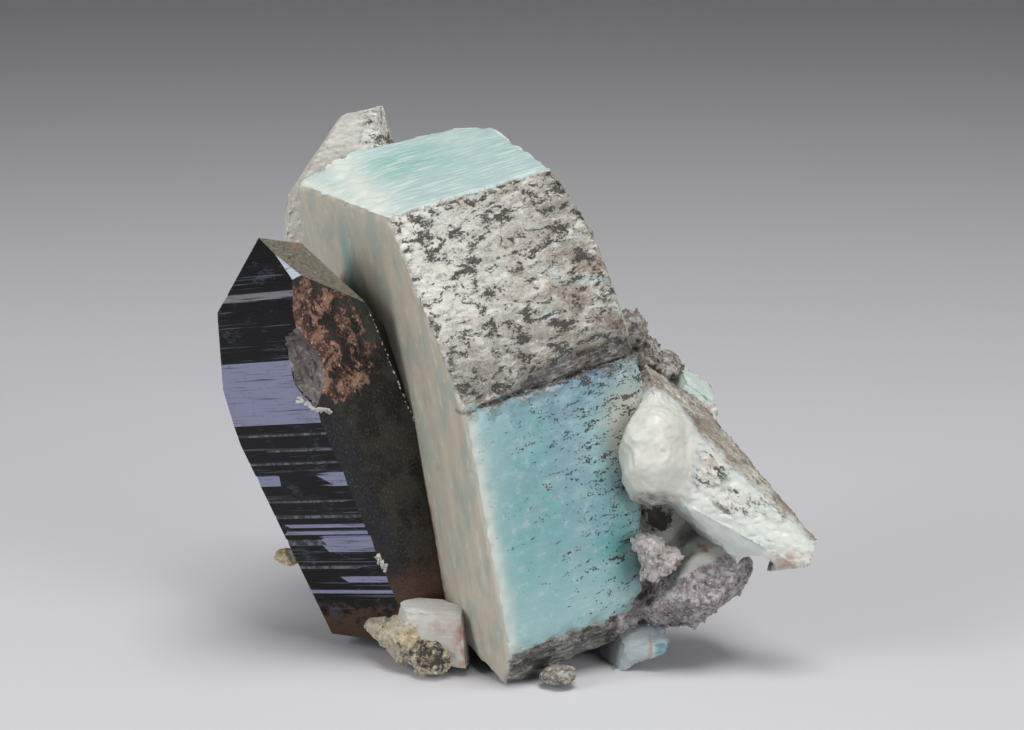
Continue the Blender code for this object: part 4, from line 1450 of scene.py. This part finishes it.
def paper_sweep():
    """A sheet of paper that lies flat, bends up behind the specimen and stands as a wall."""
    bm = bmesh.new()
    bmesh.ops.create_grid(bm, x_segments=1, y_segments=1, size=SWEEP_HALF)
    back = [e for e in bm.edges if all(v.co.y > SWEEP_HALF - 0.1 for v in e.verts)]
    hinge = (0, SWEEP_HALF, SWEEP_BEND)
    bmesh.ops.spin(bm, geom=back, cent=hinge, axis=(1, 0, 0), angle=radians(90), steps=16)
    rim = [e for e in bm.edges if all(v.co.z > SWEEP_BEND - 0.01 for v in e.verts)]
    wall = bmesh.ops.extrude_edge_only(bm, edges=rim)["geom"]
    raised = [item for item in wall if isinstance(item, bmesh.types.BMVert)]
    bmesh.ops.translate(bm, vec=(0, 0, SWEEP_HALF), verts=raised)
    bmesh.ops.recalc_face_normals(bm, faces=bm.faces)
    return bm


class SPECIMEN_OT_stage(bpy.types.Operator):
    """Set up the pale floor, the studio light and the camera"""
    bl_idname = "specimen.stage"
    bl_label = "Stage"

    def execute(self, context):
        settings = context.scene.stage
        floor = new_object("stage_floor", paper_sweep(), Matrix())
        floor.data.shade_smooth()
        material, _, shader = new_material("matt_paper")
        shader.inputs["Base Color"].default_value = settings.floor
        shader.inputs["Roughness"].default_value = 0.8
        floor.data.materials.append(material)

        for name, (place, width, height, power) in LIGHTS.items():
            soft_light(name, place, LIGHT_AIM, width, height, power * settings.light)
        world = bpy.data.worlds.new("studio")
        world.use_nodes = True
        background = world.node_tree.nodes["Background"]
        background.inputs["Color"].default_value = (1.0, 1.0, 1.0, 1.0)
        background.inputs["Strength"].default_value = ROOM_LIGHT * settings.light
        context.scene.world = world
        context.scene.view_settings.view_transform = "Standard"

        data = bpy.data.cameras.new("photo_camera")
        data.lens = LENS
        data.sensor_fit = "HORIZONTAL"
        data.clip_start = 0.01
        camera = bpy.data.objects.new("photo_camera", data)
        camera.location = view_point()
        camera.rotation_euler = (radians(90 - VIEW_ELEVATION), 0, 0)
        context.scene.collection.objects.link(camera)
        context.scene.camera = camera
        return {"FINISHED"}


class SPECIMEN_PT_panel(bpy.types.Panel):
    """Lists the specimen's pieces in the sidebar"""
    bl_label = "Rough microcline"
    bl_space_type = "VIEW_3D"
    bl_region_type = "UI"
    bl_category = "Specimen"

    def draw(self, context):
        for group in ("microcline", "quartz", "matrix", "stage"):
            settings = getattr(context.scene, group)
            box = self.layout.box()
            for key in settings.bl_rna.properties.keys():
                if key not in ("rna_type", "name"):
                    box.prop(settings, key)
        for operator in OPERATORS:
            self.layout.operator(operator.bl_idname)


OPERATORS = (
    SPECIMEN_OT_main_crystal,
    SPECIMEN_OT_smoky_quartz,
    SPECIMEN_OT_side_crystals,
    SPECIMEN_OT_matrix,
    SPECIMEN_OT_stage,
)
GROUPS = {
    "microcline": MicroclineSettings,
    "quartz": QuartzSettings,
    "matrix": MatrixSettings,
    "stage": StageSettings,
}


def register():
    """Register the settings, the operators and the panel."""
    for name, group in GROUPS.items():
        bpy.utils.register_class(group)
        setattr(bpy.types.Scene, name, PointerProperty(type=group))
    for operator in OPERATORS:
        bpy.utils.register_class(operator)
    bpy.utils.register_class(SPECIMEN_PT_panel)


def unregister():
    """Take everything out again."""
    bpy.utils.unregister_class(SPECIMEN_PT_panel)
    for operator in OPERATORS:
        bpy.utils.unregister_class(operator)
    for name, group in GROUPS.items():
        delattr(bpy.types.Scene, name)
        bpy.utils.unregister_class(group)


def main():
    """Make every piece."""
    register()
    bpy.ops.specimen.stage()
    bpy.ops.specimen.main_crystal()
    bpy.ops.specimen.smoky_quartz()
    bpy.ops.specimen.side_crystals()
    bpy.ops.specimen.matrix()
    bpy.context.view_layer.update()


if __name__ == "__main__":
    main()
